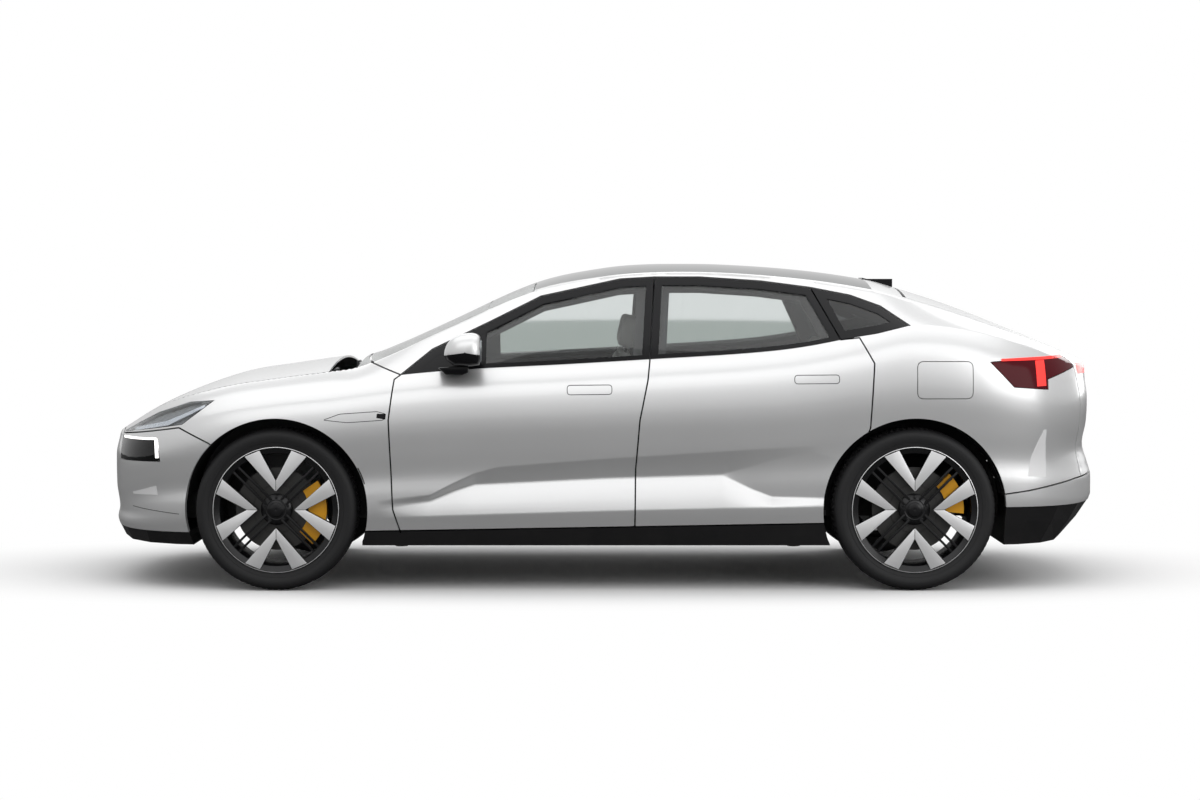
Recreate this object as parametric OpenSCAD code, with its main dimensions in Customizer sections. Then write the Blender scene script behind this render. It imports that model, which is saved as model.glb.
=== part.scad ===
// Five-door coupe sport utility vehicle.
// X runs from nose to tail, Y to the right-hand side, Z up from the road.
// The origin lies on the road, midway along the length.

/* [Overall] */
// Distance between the axles
wheelbase = 3000; // [2960:5:3040]
// Distance from the nose to the front axle
front_overhang = 880; // [860:5:900]
// Distance from the rear axle to the tail
rear_overhang = 960; // [940:5:980]
// Width over the doors, without mirrors
body_w = 2008; // [1960:2:2060]
// Height of the roof crown above the road
body_h = 1540; // [1500:2:1600]
// Height of the body's lower edge above the road
sill_z = 212; // [195:1:230]

/* [Wheels] */
// Distance between the wheels' mid-planes
track = 1680; // [1660:2:1690]
// Tyre diameter
tyre_d = 764; // [750:1:776]
// Tyre section width
tyre_w = 262; // [245:1:268]
// Diameter of the rim's bead seat
rim_d = 560; // [540:1:570]
// Gap between a tyre's tread and its wheel arch
arch_gap = 49; // [44:1:58]
// Brake disc diameter
disc_d = 390; // [340:2:400]
// Brake disc thickness
disc_t = 34; // [28:1:36]

/* [Panels] */
// Gap between neighbouring panels
panel_gap = 7; // [6:0.5:9]
// Thickness of an outer skin at its edge
skin_t = 9; // [8:1:11]
// Thickness of a door below the window line
door_t = 105; // [90:1:115]
// Thickness of a door's window frame
frame_t = 34; // [26:1:40]
// Thickness of the bonnet, roof and tailgate
lid_t = 26; // [20:1:32]
// Thickness of the window glass
glass_t = 5; // [4:0.5:7]
// Wall of the welded inner body
cage_t = 36; // [28:1:44]

/* [Hidden] */

// Overrun that carries every cut clear of what it cuts
cut = 60;
// Clearance between pieces that seat against each other
seat_gap = 0.3;
half_len = (front_overhang + wheelbase + rear_overhang) / 2;
half_w = body_w / 2;
front_axle_x = front_overhang - half_len;
rear_axle_x = front_axle_x + wheelbase;
hub_z = tyre_d / 2;
arch_r = hub_z + arch_gap;
mid_y = track / 2;
tyre_half = tyre_w / 2;

silver = [0.80, 0.81, 0.82];
satin_black = [0.05, 0.05, 0.055];
glass_tint = [0.16, 0.18, 0.19, 0.55];
dark_trim = [0.14, 0.14, 0.15];
pale_trim = [0.62, 0.61, 0.59];
machined = [0.62, 0.62, 0.63];
caliper_gold = [0.86, 0.55, 0.06];
lamp_red = [0.62, 0.04, 0.05];
lamp_clear = [0.85, 0.87, 0.90];

// Rails along the body, as shares of half the length and of the height
shoulder_shares = [[-1, .448], [-.95, .471], [-.868, .529], [-.744, .581], [-.637, .607], [-.537, .623],
    [-.395, .653], [-.26, .671], [-.085, .685], [.089, .701], [.274, .719], [.381, .737], [.494, .771],
    [.594, .805], [.702, .795], [.826, .744], [.932, .688], [1, .662]];
top_edge_shares = [[-1, .458], [-.95, .497], [-.868, .564], [-.744, .620], [-.637, .646], [-.537, .666],
    [-.483, .679], [-.413, .721], [-.321, .789], [-.139, .912], [0, .955], [.107, .968], [.244, .966],
    [.41, .943], [.545, .909], [.5975, .886], [.702, .838], [.826, .773], [.932, .714], [1, .682]];
centre_shares = [[-1, .462], [-.95, .503], [-.868, .578], [-.744, .649], [-.637, .677], [-.537, .699],
    [-.483, .706], [-.413, .747], [-.321, .812], [-.139, .940], [0, .987], [.107, 1], [.244, .998],
    [.41, .979], [.545, .948], [.5975, .925], [.702, .873], [.826, .797], [.932, .7305], [1, .688]];
top_width_shares = [[-1, .80], [-.744, .80], [-.537, .785], [-.483, .767], [-.321, .727], [-.139, .667],
    [0, .637], [.107, .6275], [.244, .6275], [.41, .6375], [.545, .657], [.702, .70], [.826, .73],
    [1, .74]];
// Body side from the sill to the shoulder: share of that height, share of half the width
side_shares = [[0, .93], [.12, .955], [.2, .972], [.3, .976], [.42, .972], [.55, .988], [.68, 1],
    [.8, .996], [.9, .975], [.96, .945], [1, .915]];
// How far the nose and the tail stand back from the ends, by height: share of height, share of half length
nose_back_shares = [[.13, .02], [.19, .002], [.23, .006], [.3, 0], [.4, 0], [.46, .006], [.7, .006]];
tail_back_shares = [[.13, .075], [.22, .02], [.27, 0], [.33, 0], [.37, .008], [.43, .02], [.5, .012],
    [.58, .010], [.64, .014], [.7, .012]];
// The ends round off as a power of the distance from the middle
end_power = 12;
back_power = 6;
// Share of the side's height from which the wall turns from side to top, and the least share of a width
// left inside
turn_share = .86;
core_share = .3;
// Lines of the scoop along the lower doors, as shares of half the length and of the height: its upper
// crest, the
// fold below the shaded face, the back of the ledge and the ledge's lip
crest_shares = [[-1, .31], [-.56, .31], [-.44, .275], [-.336, .293], [-.29, .330], [-.25, .359],
    [-.205, .379], [0, .4045],
    [.232, .427], [.325, .436], [.42, .444], [1, .44]];
fold_shares = [[-1, .285], [-.56, .285], [-.44, .262], [-.336, .2785], [-.29, .308], [-.25, .328],
    [-.205, .331], [0, .347],
    [.232, .358], [.285, .380], [.325, .400], [.40, .427], [.5, .38], [1, .36]];
ledge_shares = [[-1, .25], [-.56, .25], [-.44, .2505], [-.336, .2725], [-.29, .302], [-.25, .322],
    [-.205, .325], [0, .341],
    [.232, .352], [.285, .312], [.325, .287], [.42, .285], [1, .29]];
lip_shares = [[-1, .20], [-.56, .21], [-.44, .224], [-.2, .236], [0, .2455], [.232, .2545], [.42, .26],
    [1, .26]];
// Depth of the scoop, how far the lip stands out below it, and how both fade along the length
scoop_depth = 42;
lip_out = 6;
scoop_fade_shares = [[-1, 0], [-.44, 0], [-.336, .5], [-.25, 1], [.24, 1], [.325, .62], [.42, .35],
    [.52, 0], [1, 0]];
fold_fade_shares = [[-1, 1], [.24, 1], [.325, .5], [.42, 0], [1, 0]];
// Outward bow of the side glass
glass_bow = 14;

// The last station, a flat a hand wide on the centreline
end_share = .998;
station_shares = [-end_share, -.985, -.95, -.90, -.84, -.77, -.69, -.61, -.54, -.483, -.43, -.36, -.28,
    -.20, -.12,
    -.04, .04, .12, .20, .28, .36, .44, .52, .60, .68, .76, .83, .89, .94, .975, end_share];
low_row_shares = [0, .12];
high_row_shares = [.66, .8, .92, 1];
glass_row_shares = [.5, 1];
top_row_shares = [.25, .6, 1];
// The same for the hidden inner faces of walls
inner_station_shares = [-end_share, -.985, -.95, -.90, -.77, -.61, -.483, -.36, -.20, -.04, .12, .28,
    .44, .60, .76,
    .89, .94, .975, end_share];
inner_side_row_shares = [0, .3, .66, .86, 1];
inner_glass_row_shares = [1];
inner_top_row_shares = [.4, 1];
// Depth from which a face counts as hidden
inner_depth = 25;

// Index of the table's segment that holds a place
function segment(at, table, i = 0) =
    i >= len(table) - 2 || at < table[i + 1][0] ? i : segment(at, table, i + 1);
function knot_slope(table, i) =
    let (a = max(i - 1, 0), b = min(i + 1, len(table) - 1))
    (table[b][1] - table[a][1]) / (table[b][0] - table[a][0]);
// Smooth curve through a table of places and values
function curve(at, table) =
    let (i = segment(at, table), span = table[i + 1][0] - table[i][0],
        u = min(max((at - table[i][0]) / span, 0), 1))
    (2 * u ^ 3 - 3 * u ^ 2 + 1) * table[i][1] + (u ^ 3 - 2 * u ^ 2 + u) * span * knot_slope(table, i)
    + (3 * u ^ 2 - 2 * u ^ 3) * table[i + 1][1] + (u ^ 3 - u ^ 2) * span * knot_slope(table, i + 1);

function end_round(s) = sqrt(1 - pow(abs(s), end_power));
function shoulder_z(s) = body_h * curve(s, shoulder_shares);
function top_edge_z(s) = body_h * curve(s, top_edge_shares);
function centre_z(s) = body_h * curve(s, centre_shares);
function top_edge_y(s) = half_w * curve(s, top_width_shares) * end_round(s);
// Shares of the height from sill to shoulder at which a section crosses the scoop's lines
function scoop_rows(s) = [for (line = [lip_shares, ledge_shares, fold_shares, crest_shares])
    (body_h * lookup(s, line) - sill_z) / (shoulder_z(s) - sill_z)];
function scoop(s, h) =
    let (rows = scoop_rows(s), depth = scoop_depth * lookup(s, scoop_fade_shares),
        out = lip_out * lookup(s, scoop_fade_shares))
    lookup(h, [[0, 0], [rows[0], -out], [rows[1], depth], [rows[2],
        depth * lookup(s, fold_fade_shares)], [rows[3], 0],
        [1, 0]]);
function side_rows(s) = concat(low_row_shares, scoop_rows(s), high_row_shares);
// Half width of the body side, at a station and a share of the height from sill to shoulder
function side_y(s, h) = (half_w * curve(h, side_shares) - scoop(s, h)) * end_round(s);
// Distance from the middle of the car, at a station and a height
function station_x(s, z) =
    s * half_len / end_share - sign(s) * half_len * pow(abs(s), back_power)
    * max(0, curve(z / body_h, s < 0 ? nose_back_shares : tail_back_shares));

// One left-hand section from sill to roof centre, drawn in by a wall at the side and at the top
function section(s, side_in, top_in, sides, glasses, tops) =
    let (end_in = 1 - side_in / half_len, zs = shoulder_z(s), zt = top_edge_z(s), zc = centre_z(s),
        ys = side_y(s, 1), yt = top_edge_y(s), lower = side_in > 0 ? cut : 0)
    concat(
        [for (h = sides)
            let (z = sill_z + h * (zs - sill_z), fade = max(0, (h - turn_share) / (1 - turn_share)),
                wall = side_in + (top_in - side_in) * fade, y = side_y(s, h))
            [station_x(s, z) * end_in, -max(y - wall, y * core_share),
            z - (h == 0 ? lower : 0) - top_in * fade]],
        [for (t = glasses)
            let (z = zs + t * (zt - zs), y = ys + t * (yt - ys) + 4 * t * (1 - t) * glass_bow)
            [station_x(s, z) * end_in, -max(y - top_in, y * core_share), z - top_in]],
        [for (w = tops)
            let (z = zt + (zc - zt) * (1 - (1 - w) ^ 2), y = yt * (1 - w))
            [station_x(s, z) * end_in, -max(y - top_in * (1 - w), y * core_share), z - top_in]]);

// Whole section, left sill over the roof to right sill
function ring(s, side_in, top_in) =
    let (deep = side_in > inner_depth,
        left = section(s, side_in, top_in, deep ? inner_side_row_shares : side_rows(s),
            deep ? inner_glass_row_shares : glass_row_shares, deep ? inner_top_row_shares : top_row_shares),
        n = len(left))
    concat(left, [for (i = [n - 2:-1:0]) [left[i][0], -left[i][1], left[i][2]]]);

// Solid lofted through the sections; a drawn-in one is the hollow of a panel
module body_form(side_in = 0, top_in = 0) {
    rings = [for (s = side_in > inner_depth ? inner_station_shares : station_shares) ring(s, side_in,
        top_in)];
    n = len(rings[0]);
    m = len(rings);
    points = [for (r = rings) each r];
    walls = [for (i = [0:m - 2], k = [0:n - 1])
        let (a = i * n + k, b = i * n + (k + 1) % n, c = a + n, d = b + n)
        each 2 * k < n ? [[a, b, c], [b, d, c]] : [[a, b, d], [a, d, c]]];
    half = floor(n / 2);
    first = [for (k = [0:half - 1]) each [[k, n - 1 - k, k + 1], [k + 1, n - 1 - k, n - 2 - k]]];
    last = [for (k = [0:half - 1]) let (o = (m - 1) * n)
        each [[o + k, o + k + 1, o + n - 1 - k], [o + k + 1, o + n - 2 - k, o + n - 1 - k]]];
    caps = [for (f = concat(first, last)) if (f[0] != f[1] && f[1] != f[2] && f[0] != f[2]) f];
    polyhedron(points, concat(walls, caps), convexity = 12);
}

// Layer of the body between two depths below its surface
module layer(outer_side, outer_top, inner_side, inner_top) {
    difference() {
        body_form(outer_side, outer_top);
        body_form(inner_side, inner_top);
    }
}

// Panel as thick as a wall, straight from the surface
module shell(side_in, top_in) {
    difference() {
        body_form();
        body_form(side_in, top_in);
    }
}

// Space down to a depth, open to the outside
module room(depth) {
    difference() {
        body_form(-skin_t, -skin_t);
        body_form(depth, depth);
    }
}
// Block between two corners
module block(b) {
    translate([b[0], b[2], b[4]]) cube([b[1] - b[0], b[3] - b[2], b[5] - b[4]]);
}
module pair() {
    children();
    mirror([0, 1, 0]) children();
}

// Side-view outline pushed through the left half, from a depth near the middle out past the skin
module side_prism(from_y = side_inner_y) {
    translate([0, -from_y, 0]) rotate([90, 0, 0]) linear_extrude(half_w + cut - from_y) children();
}
// Side-view outline pushed through the whole width
module cross_prism() {
    rotate([90, 0, 0]) linear_extrude(2 * (half_w + cut), center = true) children();
}
// Plan outline pushed up through the body
module plan_prism(from_z = 0) {
    translate([0, 0, from_z]) linear_extrude(body_h + cut - from_z) children();
}
function side_points(shares) = [for (p = shares) [p[0] * half_len, p[1] * body_h]];
function plan_points(shares) = [for (p = shares) [p[0] * half_len, p[1] * half_w]];

// Groove of one width along a line of points
module groove(points, width, closed = false) {
    last = closed ? len(points) - 1 : len(points) - 2;
    for (i = [0:last]) hull() {
        translate(points[i]) circle(d = width, $fn = 8);
        translate(points[(i + 1) % len(points)]) circle(d = width, $fn = 8);
    }
}
// Band along the inside of an outline, and what it leaves open
module opening(points, band) {
    difference() {
        polygon(points);
        groove(points, 2 * band, true);
    }
}
// Plan outline bounded by the top edge rail, between two stations, widened by some amount
module top_region(from, to, widen = 0) {
    steps = 14;
    edge = [for (i = [0:steps]) let (s = from + (to - from) * i / steps)
        [s * half_len / end_share, top_edge_y(s) + widen]];
    polygon(concat(edge, [for (i = [steps:-1:0]) [edge[i][0], -edge[i][1]]]));
}
module top_rail(from, to, width) {
    steps = 14;
    pair_of = [for (i = [0:steps]) let (s = from + (to - from) * i / steps)
        [s * half_len / end_share, top_edge_y(s)]];
    for (side = [-1, 1]) groove([for (p = pair_of) [p[0], side * p[1]]], width);
}

// Depth from the middle at which side cuts stop
side_inner_share = .30;
side_inner_y = side_inner_share * half_w;
// Lower edge of the doors and wings, falling towards the nose: share of half the length, share of the
// height
sill_line_shares = [[-.6, .178], [.5, .2085]];
function sill_line(share) = lookup(share, sill_line_shares);
sill_end_shares = [-.47, .47];
// Seam between the front bumper and its splitter, and between the rear bumper and its diffuser
splitter_z_share = .1773;
diffuser_z_share = .2558;
splitter_z = body_h * splitter_z_share;
diffuser_z = body_h * diffuser_z_share;
// Width of a door's or lid's outer skin past its inner structure
hem_w = 24;
// Width of the black frame around each side window
window_frame_w = 38;
// Depth of the side glass below the frame's face
glass_set = 7;
// Space between a shut door and the inner body
seal_gap = 32;
// Depths at which the inner body starts, at the side and at the roof
inner_side = door_t + seal_gap;
inner_top = frame_t + seal_gap;
// Width of the ledge that carries the windscreen and the roof glass
ledge_w = 46;
// How far the belt stands above the shoulder, and the black band between it and the glass
belt_rise = 8;
belt_band_w = 22;
// Thickness of the windscreen and the roof glass
fixed_glass_t = 6;
// How far the roof glass stops short of the roof's edge
roof_rail_w = 50;

// Shut lines in side view, as shares of half the length and of the height
window_top_shares = [[-.395, .659], [-.336, .735], [-.2215, .8215], [-.124, .898], [.032, .951], [.1, .957],
    [.19, .957], [.309, .945], [.407, .925], [.4855, .901], [.543, .8675], [.594, .809]];
front_edge_shares = [[-.395, .659], [-.407, .645], [-.4165, .523], [-.4095, .25], [-.395, .178]];
door_corner_share = -.3961;
split_shares = [[.1, .957], [.089, .7006], [.085, .6435], [.0695, .523], [.0615, .372], [.06, .2]];
back_edge_shares = [[.407, .925], [.413, .91], [.46, .766], [.496, .772], [.5225, .695], [.515, .499],
    [.49, .4]];
bumper_seam_shares = [[-.962, .7], [-.962, .468], [-.825, .498], [-.765, .452], [-.755, .44]];
rear_seam_shares = [[.72, .284], [.826, .305], [.93, .335], [1.05, .354]];
pillar_seam_shares = [[-.395, .659], [-.483, .71]];
headlamp_shares = [[-.957, .475], [-.819, .508], [-.759, .580], [-.807, .574], [-.873, .540]];
lower_lamp_shares = [[-.963, .390], [-.864, .394], [-.870, .464], [-.963, .461]];
tail_lamp_shares = [[.747, .699], [.794, .622], [.864, .614], [.864, .645], [.97, .70], [1.05, .712],
    [1.05, .735],
    [.97, .725]];
flap_shares = [[.605, .588], [.7125, .588], [.7125, .701], [.605, .701]];
flap_round_r = 30;
// Outline with its corners rounded
function rounded(points, r, steps = 3) =
    let (n = len(points))
    [for (i = [0:n - 1]) let (here = points[i],
    back = points[(i + n - 1) % n] - here, on = points[(i + 1) % n] - here,
        a = here + back * r / norm(back), b = here + on * r / norm(on))
        for (k = [0:steps]) let (u = k / steps) (1 - u) ^ 2 * a + 2 * u * (1 - u) * here + u ^ 2 * b];
// Tailgate seam in plan, as shares of half the length and half the width
tailgate_seam_shares = [[.600, .60], [.66, .625], [.74, .655], [.85, .687], [1.05, .687]];
tailgate_front = .600;
bonnet_shares = [-.962, -.537];
windscreen_shares = [-.483, -.139];
roof_glass_shares = [-.136, .532];

front_door_outline = side_points(concat([for (i = [0:5]) window_top_shares[i]],
    [for (i = [1:4]) split_shares[i]], [for (share = [.06, door_corner_share]) [share, sill_line(share)]],
    [for (i = [3:-1:1]) front_edge_shares[i]]));
rear_door_outline = side_points(concat([for (i = [5:8]) window_top_shares[i]],
    [for (i = [1:5]) back_edge_shares[i]], [for (share = [.45, .06]) [share, sill_line(share)]],
    [for (i = [4:-1:1]) split_shares[i]]));
quarter_outline = side_points(concat([for (i = [8:11]) window_top_shares[i]], [[.53, .784],
    [.46, .766], [.413, .91]]));
belt_station_shares = [-.5:.1:.7];
belt_outline = concat([for (s = belt_station_shares) [s * half_len, shoulder_z(s) + belt_rise]],
    [[half_len, body_h + cut], [-half_len, body_h + cut]]);

module arches(extra = 0) {
    for (x = [front_axle_x, rear_axle_x]) translate([x, hub_z]) circle(arch_r + extra, $fn = 40);
}
module shut_lines() {
    groove(side_points(window_top_shares), panel_gap);
    groove(side_points(front_edge_shares), panel_gap);
    groove(side_points(split_shares), panel_gap);
    groove(side_points(back_edge_shares), panel_gap);
    groove(side_points([for (share = sill_end_shares) [share, sill_line(share)]]), panel_gap);
    groove(side_points(bumper_seam_shares), panel_gap);
    groove(side_points(rear_seam_shares), panel_gap);
    groove(side_points(pillar_seam_shares), panel_gap);
}
// All lamp openings of one side, drawn in or out by some amount
module lamp_outlines(grow = 0) {
    offset(delta = grow) polygon(side_points(headlamp_shares));
    offset(delta = grow) polygon(side_points(lower_lamp_shares));
    offset(delta = grow) polygon(side_points(tail_lamp_shares));
}

// Window above the belt inside a door outline, drawn in by the frame
module window_2d(outline, band) {
    intersection() {
        opening(outline, band);
        offset(delta = window_frame_w - belt_band_w - band) polygon(belt_outline);
    }
}

// Door hinges: axes, pins and their lugs
hinge_set_backs = [112.93, 106.81];
front_hinge_x = half_len * front_edge_shares[2][0] + hinge_set_backs[0];
rear_hinge_x = half_len * split_shares[3][0] + hinge_set_backs[1];
hinge_in = 42;
hinge_y = half_w - hinge_in;
hinge_z_shares = [.42533, .55195];
hinge_zs = body_h * hinge_z_shares;
hinge_lug_h = 26;
hinge_pin_r = 9;
hinge_lug_r = 18;
hinge_arm_w = 22;
hinge_play = 0.4;
// Distance from a hinge axis to the door's inner structure
hinge_clear = 30;

// Door: a thin outer skin to the shut lines and a thick inner structure set back from them
module door(outline, hinge_x) {
    difference() {
        union() {
            intersection() {
                shell(skin_t, skin_t);
                side_prism() difference() {
                    polygon(outline);
                    shut_lines();
                }
            }
            intersection() {
                layer(skin_t - seat_gap, skin_t - seat_gap, door_t, frame_t);
                side_prism() difference() {
                    opening(outline, hem_w);
                    translate([hinge_x - half_len, 0]) square([half_len + hinge_clear, shoulder_z(0)]);
                }
            }
            for (z = hinge_zs) translate([hinge_x, -hinge_y, z]) {
                cylinder(r = hinge_lug_r, h = hinge_lug_h, $fn = 20);
                translate([0, -hinge_pin_r, 0]) cube([2 * hinge_clear, 2 * hinge_pin_r, hinge_lug_h]);
            }
        }
        side_prism() window_2d(outline, window_frame_w);
        side_prism() arches(panel_gap);
        translate([hinge_x, -hinge_y, 0]) cylinder(r = hinge_pin_r + hinge_play, h = body_h, $fn = 20);
    }
}
module window(outline) {
    intersection() {
        layer(glass_set, glass_set, glass_set + glass_t, glass_set + glass_t);
        side_prism() window_2d(outline, window_frame_w + seat_gap);
    }
}
module door_front_left() { color(silver) door(front_door_outline, front_hinge_x); }
module door_front_right() { mirror([0, 1, 0]) door_front_left(); }
module door_rear_left() { color(silver) door(rear_door_outline, rear_hinge_x); }
module door_rear_right() { mirror([0, 1, 0]) door_rear_left(); }
module window_front_left() { color(glass_tint) window(front_door_outline); }
module window_front_right() { mirror([0, 1, 0]) window_front_left(); }
module window_rear_left() { color(glass_tint) window(rear_door_outline); }
module window_rear_right() { mirror([0, 1, 0]) window_rear_left(); }

tailgate_outline = concat(plan_points(tailgate_seam_shares),
    [for (i = [len(tailgate_seam_shares) - 1:-1:0])
        [tailgate_seam_shares[i][0] * half_len, -tailgate_seam_shares[i][1] * half_w]]);
// Wider gap ahead of the tailgate, for its front edge to turn into
tailgate_front_gap = 14;
tailgate_front_x = tailgate_front * half_len;

seat_share = seat_gap / half_len;
module windscreen_plan(grow = 0) { top_region(windscreen_shares[0],
    windscreen_shares[1] - seat_share, grow); }
module roof_plan(grow = 0) {
    top_region(roof_glass_shares[0] + seat_share, roof_glass_shares[1] - seat_share, grow - roof_rail_w);
}
module bonnet_plan() { top_region(bonnet_shares[0], bonnet_shares[1]); }
module bonnet_seam() {
    top_rail(bonnet_shares[0], windscreen_shares[0], panel_gap);
    for (s = bonnet_shares) groove([for (side = [-1, 1]) [s * half_len / end_share,
        side * top_edge_y(s)]], panel_gap);
}

// Fixed outer frame: pillars, roof rails, rear header and quarters, with a ledge for the fixed glass
frame_shares = [[-.483, .71], [-.395, .659], [-.2, .5], [.45, .5], [.5, .2], [1.1, .2], [1.1, 1.1],
    [-.483, 1.1]];
below_rear_seam_shares = [[.5, .284], [.72, .284], [.826, .305], [.93, .335], [1.1, .362], [1.1, 0],
    [.5, 0]];
flap_pocket_depth = 70;
flap_pocket_shares = [[.605, .588], [.612, .588], [.612, .597], [.706, .597], [.706, .692], [.612, .692],
    [.612, .701], [.605, .701]];
flap_t = 8;
module body_frame() {
    color(silver) difference() {
        union() {
            difference() {
                intersection() {
                    shell(inner_side - seat_gap, inner_top - seat_gap);
                    pair() side_prism(0) polygon(side_points(frame_shares));
                }
                plan_prism() {
                    top_region(-end_share, windscreen_shares[1]);
                    top_region(roof_glass_shares[0], roof_glass_shares[1], -roof_rail_w);
                }
                pair() side_prism(0) {
                    shut_lines();
                    polygon(front_door_outline);
                    polygon(rear_door_outline);
                    polygon(side_points(below_rear_seam_shares));
                }
            }
            glass_ledge();
        }
        pair() side_prism() {
            window_2d(quarter_outline, window_frame_w);
            arches();
            polygon(side_points(tail_lamp_shares));
        }
        plan_prism() {
            polygon(tailgate_outline);
            groove(tailgate_outline, panel_gap, true);
            translate([tailgate_front_x - tailgate_front_gap, -tailgate_outline[0][1]])
                square([cut, 2 * tailgate_outline[0][1]]);
        }
        intersection() {
            body_form(skin_t, skin_t);
            plan_prism(shoulder_z(tailgate_front)) translate([tailgate_front_x - cut,
                ledge_w - tailgate_outline[0][1]])
                square([2 * cut, 2 * (tailgate_outline[0][1] - ledge_w)]);
        }
        intersection() {
            room(flap_t + seat_gap);
            side_prism() polygon(rounded(side_points(flap_shares), flap_round_r));
        }
        intersection() {
            room(flap_pocket_depth);
            side_prism() polygon(side_points(flap_pocket_shares));
        }
        hinge_arm_room();
        liner_room();
    }
}
// Ledge below the edges of the windscreen and the roof glass, inside the door frames
ledge_front = -.40;
ledge_join = 5;
ledge_share = ledge_w / half_len;
module glass_ledge() {
    difference() {
        intersection() {
            layer(fixed_glass_t + seat_gap, fixed_glass_t + seat_gap, inner_side - seat_gap,
                inner_top - seat_gap);
            plan_prism(shoulder_z(0)) {
                difference() {
                    top_region(ledge_front, windscreen_shares[1] + seat_share, ledge_join);
                    top_region(windscreen_shares[0], windscreen_shares[1] - ledge_share, -ledge_w);
                }
                difference() {
                    top_region(roof_glass_shares[0] - seat_share, roof_glass_shares[1] + seat_share,
                        ledge_join - roof_rail_w);
                    top_region(roof_glass_shares[0] + ledge_share, roof_glass_shares[1] - ledge_share,
                        -roof_rail_w - ledge_w);
                }
            }
        }
        intersection() {
            shell(frame_t + panel_gap, frame_t + panel_gap);
            pair() side_prism() {
                offset(delta = panel_gap / 2) polygon(front_door_outline);
                offset(delta = panel_gap / 2) polygon(rear_door_outline);
            }
        }
    }
}
module charge_flap() {
    color(silver) intersection() {
        shell(flap_t, flap_t);
        side_prism() opening(rounded(side_points(flap_shares), flap_round_r), panel_gap / 2);
    }
}

// Front wings
fender_shares = [[-.962, .468], [-.825, .498], [-.765, .452], [-.745, .437], [-.6, .3],
    [-.58, sill_line(-.58)],
    [door_corner_share, sill_line(door_corner_share)], [-.4095, .25], [-.4165, .523], [-.407, .645],
    [-.395, .659], [-.483, .71], [-.483, .9],
    [-.962, .9]];
module front_fenders() {
    color(silver) difference() {
        intersection() {
            shell(skin_t, skin_t);
            pair() side_prism() polygon(side_points(fender_shares));
        }
        pair() side_prism() {
            shut_lines();
            arches();
            polygon(side_points(headlamp_shares));
        }
        plan_prism() {
            bonnet_plan();
            top_region(bonnet_shares[1], ledge_front);
            bonnet_seam();
        }
    }
}

// Bumpers
bumper_t = 40;
front_bumper_shares = [[-1.1, .8], [-.962, .8], [-.962, .468], [-.825, .498], [-.765, .452],
    [-.74, .43], [-.74, .17],
    [-1.1, .17]];
rear_bumper_shares = [[.60, .25], [.72, .284], [.826, .305], [.93, .335], [1.1, .362], [1.1, .25]];
module front_bumper() {
    color(silver) difference() {
        intersection() {
            shell(bumper_t, bumper_t);
            cross_prism() polygon(side_points(front_bumper_shares));
        }
        cross_prism() {
            shut_lines();
            arches();
            translate([-half_len - cut, 0]) square([half_len, splitter_z]);
        }
        pair() side_prism() lamp_outlines();
        plan_prism() {
            bonnet_plan();
            bonnet_seam();
        }
        liner_room();
    }
}
module rear_bumper() {
    color(silver) difference() {
        intersection() {
            shell(bumper_t, bumper_t);
            cross_prism() polygon(side_points(rear_bumper_shares));
        }
        cross_prism() {
            shut_lines();
            arches();
            square([half_len + cut, diffuser_z]);
        }
        liner_room();
    }
}
splitter_share = .20;
diffuser_share = .22;
sill_shares = [[-.47, .1], [-.47, sill_line(-.47)], [.46, sill_line(.46)], [.46, .1]];
// The sills reach in below the doors and stand against the inner body by a rail
sill_depth = 210;
sill_rail_shares = [-.39, .37, -.745, -.723];
module lower_cladding() {
    color(satin_black) union() {
        difference() {
            union() {
                intersection() {
                    body_form();
                    cross_prism() {
                        translate([-half_len - cut, 0])
                            square([half_len * splitter_share + cut, splitter_z - seat_gap]);
                        translate([half_len * (1 - diffuser_share), 0])
                            square([half_len * diffuser_share + cut, diffuser_z - seat_gap]);
                    }
                }
                intersection() {
                    shell(sill_depth, sill_depth);
                    cross_prism() polygon(side_points(sill_shares));
                }
            }
            cross_prism() {
                shut_lines();
                arches();
            }
        }
        pair() block([sill_rail_shares[0] * half_len, sill_rail_shares[1] * half_len,
            sill_rail_shares[2] * half_w, sill_rail_shares[3] * half_w, sill_z, floor_z - seat_gap]);
    }
}

// Height below which no lid reaches at the nose
lid_floor_share = .4156;
lid_floor_z = body_h * lid_floor_share;
// Bonnet and tailgate: a skin to the seams, an inner structure set back from them
bonnet_axis_shares = [-.53306, .66883];
bonnet_axis_x = half_len * bonnet_axis_shares[0];
bonnet_axis_z = body_h * bonnet_axis_shares[1];
tailgate_axis_back = 18;
tailgate_axis_share = .9039;
tailgate_axis_x = tailgate_front_x + tailgate_axis_back;
tailgate_axis_z = body_h * tailgate_axis_share;
lid_hinge_y_shares = [[.63745, .51793], [.16932, .11952]];
lid_hinge_ys = half_w * lid_hinge_y_shares;
lid_lug_w = 24;
lid_pin_r = 6;
lid_lug_r = 12;
module bonnet() {
    color(silver) difference() {
        union() {
            difference() {
                union() {
                    intersection() {
                        shell(skin_t, skin_t);
                        plan_prism(lid_floor_z) bonnet_plan();
                    }
                    intersection() {
                        layer(skin_t - seat_gap, skin_t - seat_gap, lid_t, lid_t);
                        plan_prism(lid_floor_z) offset(delta = -hem_w) bonnet_plan();
                    }
                }
                plan_prism() bonnet_seam();
            }
            for (side = [-1, 1]) lid_lug(bonnet_axis_x, bonnet_axis_z, side * lid_hinge_ys[0][0], -1);
        }
        hinge_bore(bonnet_axis_x, bonnet_axis_z);
    }
}
module hinge_bore(x, z) {
    translate([x, 0, z]) rotate([90, 0, 0])
        cylinder(r = lid_pin_r + hinge_play, h = body_w, center = true, $fn = 20);
}
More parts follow.
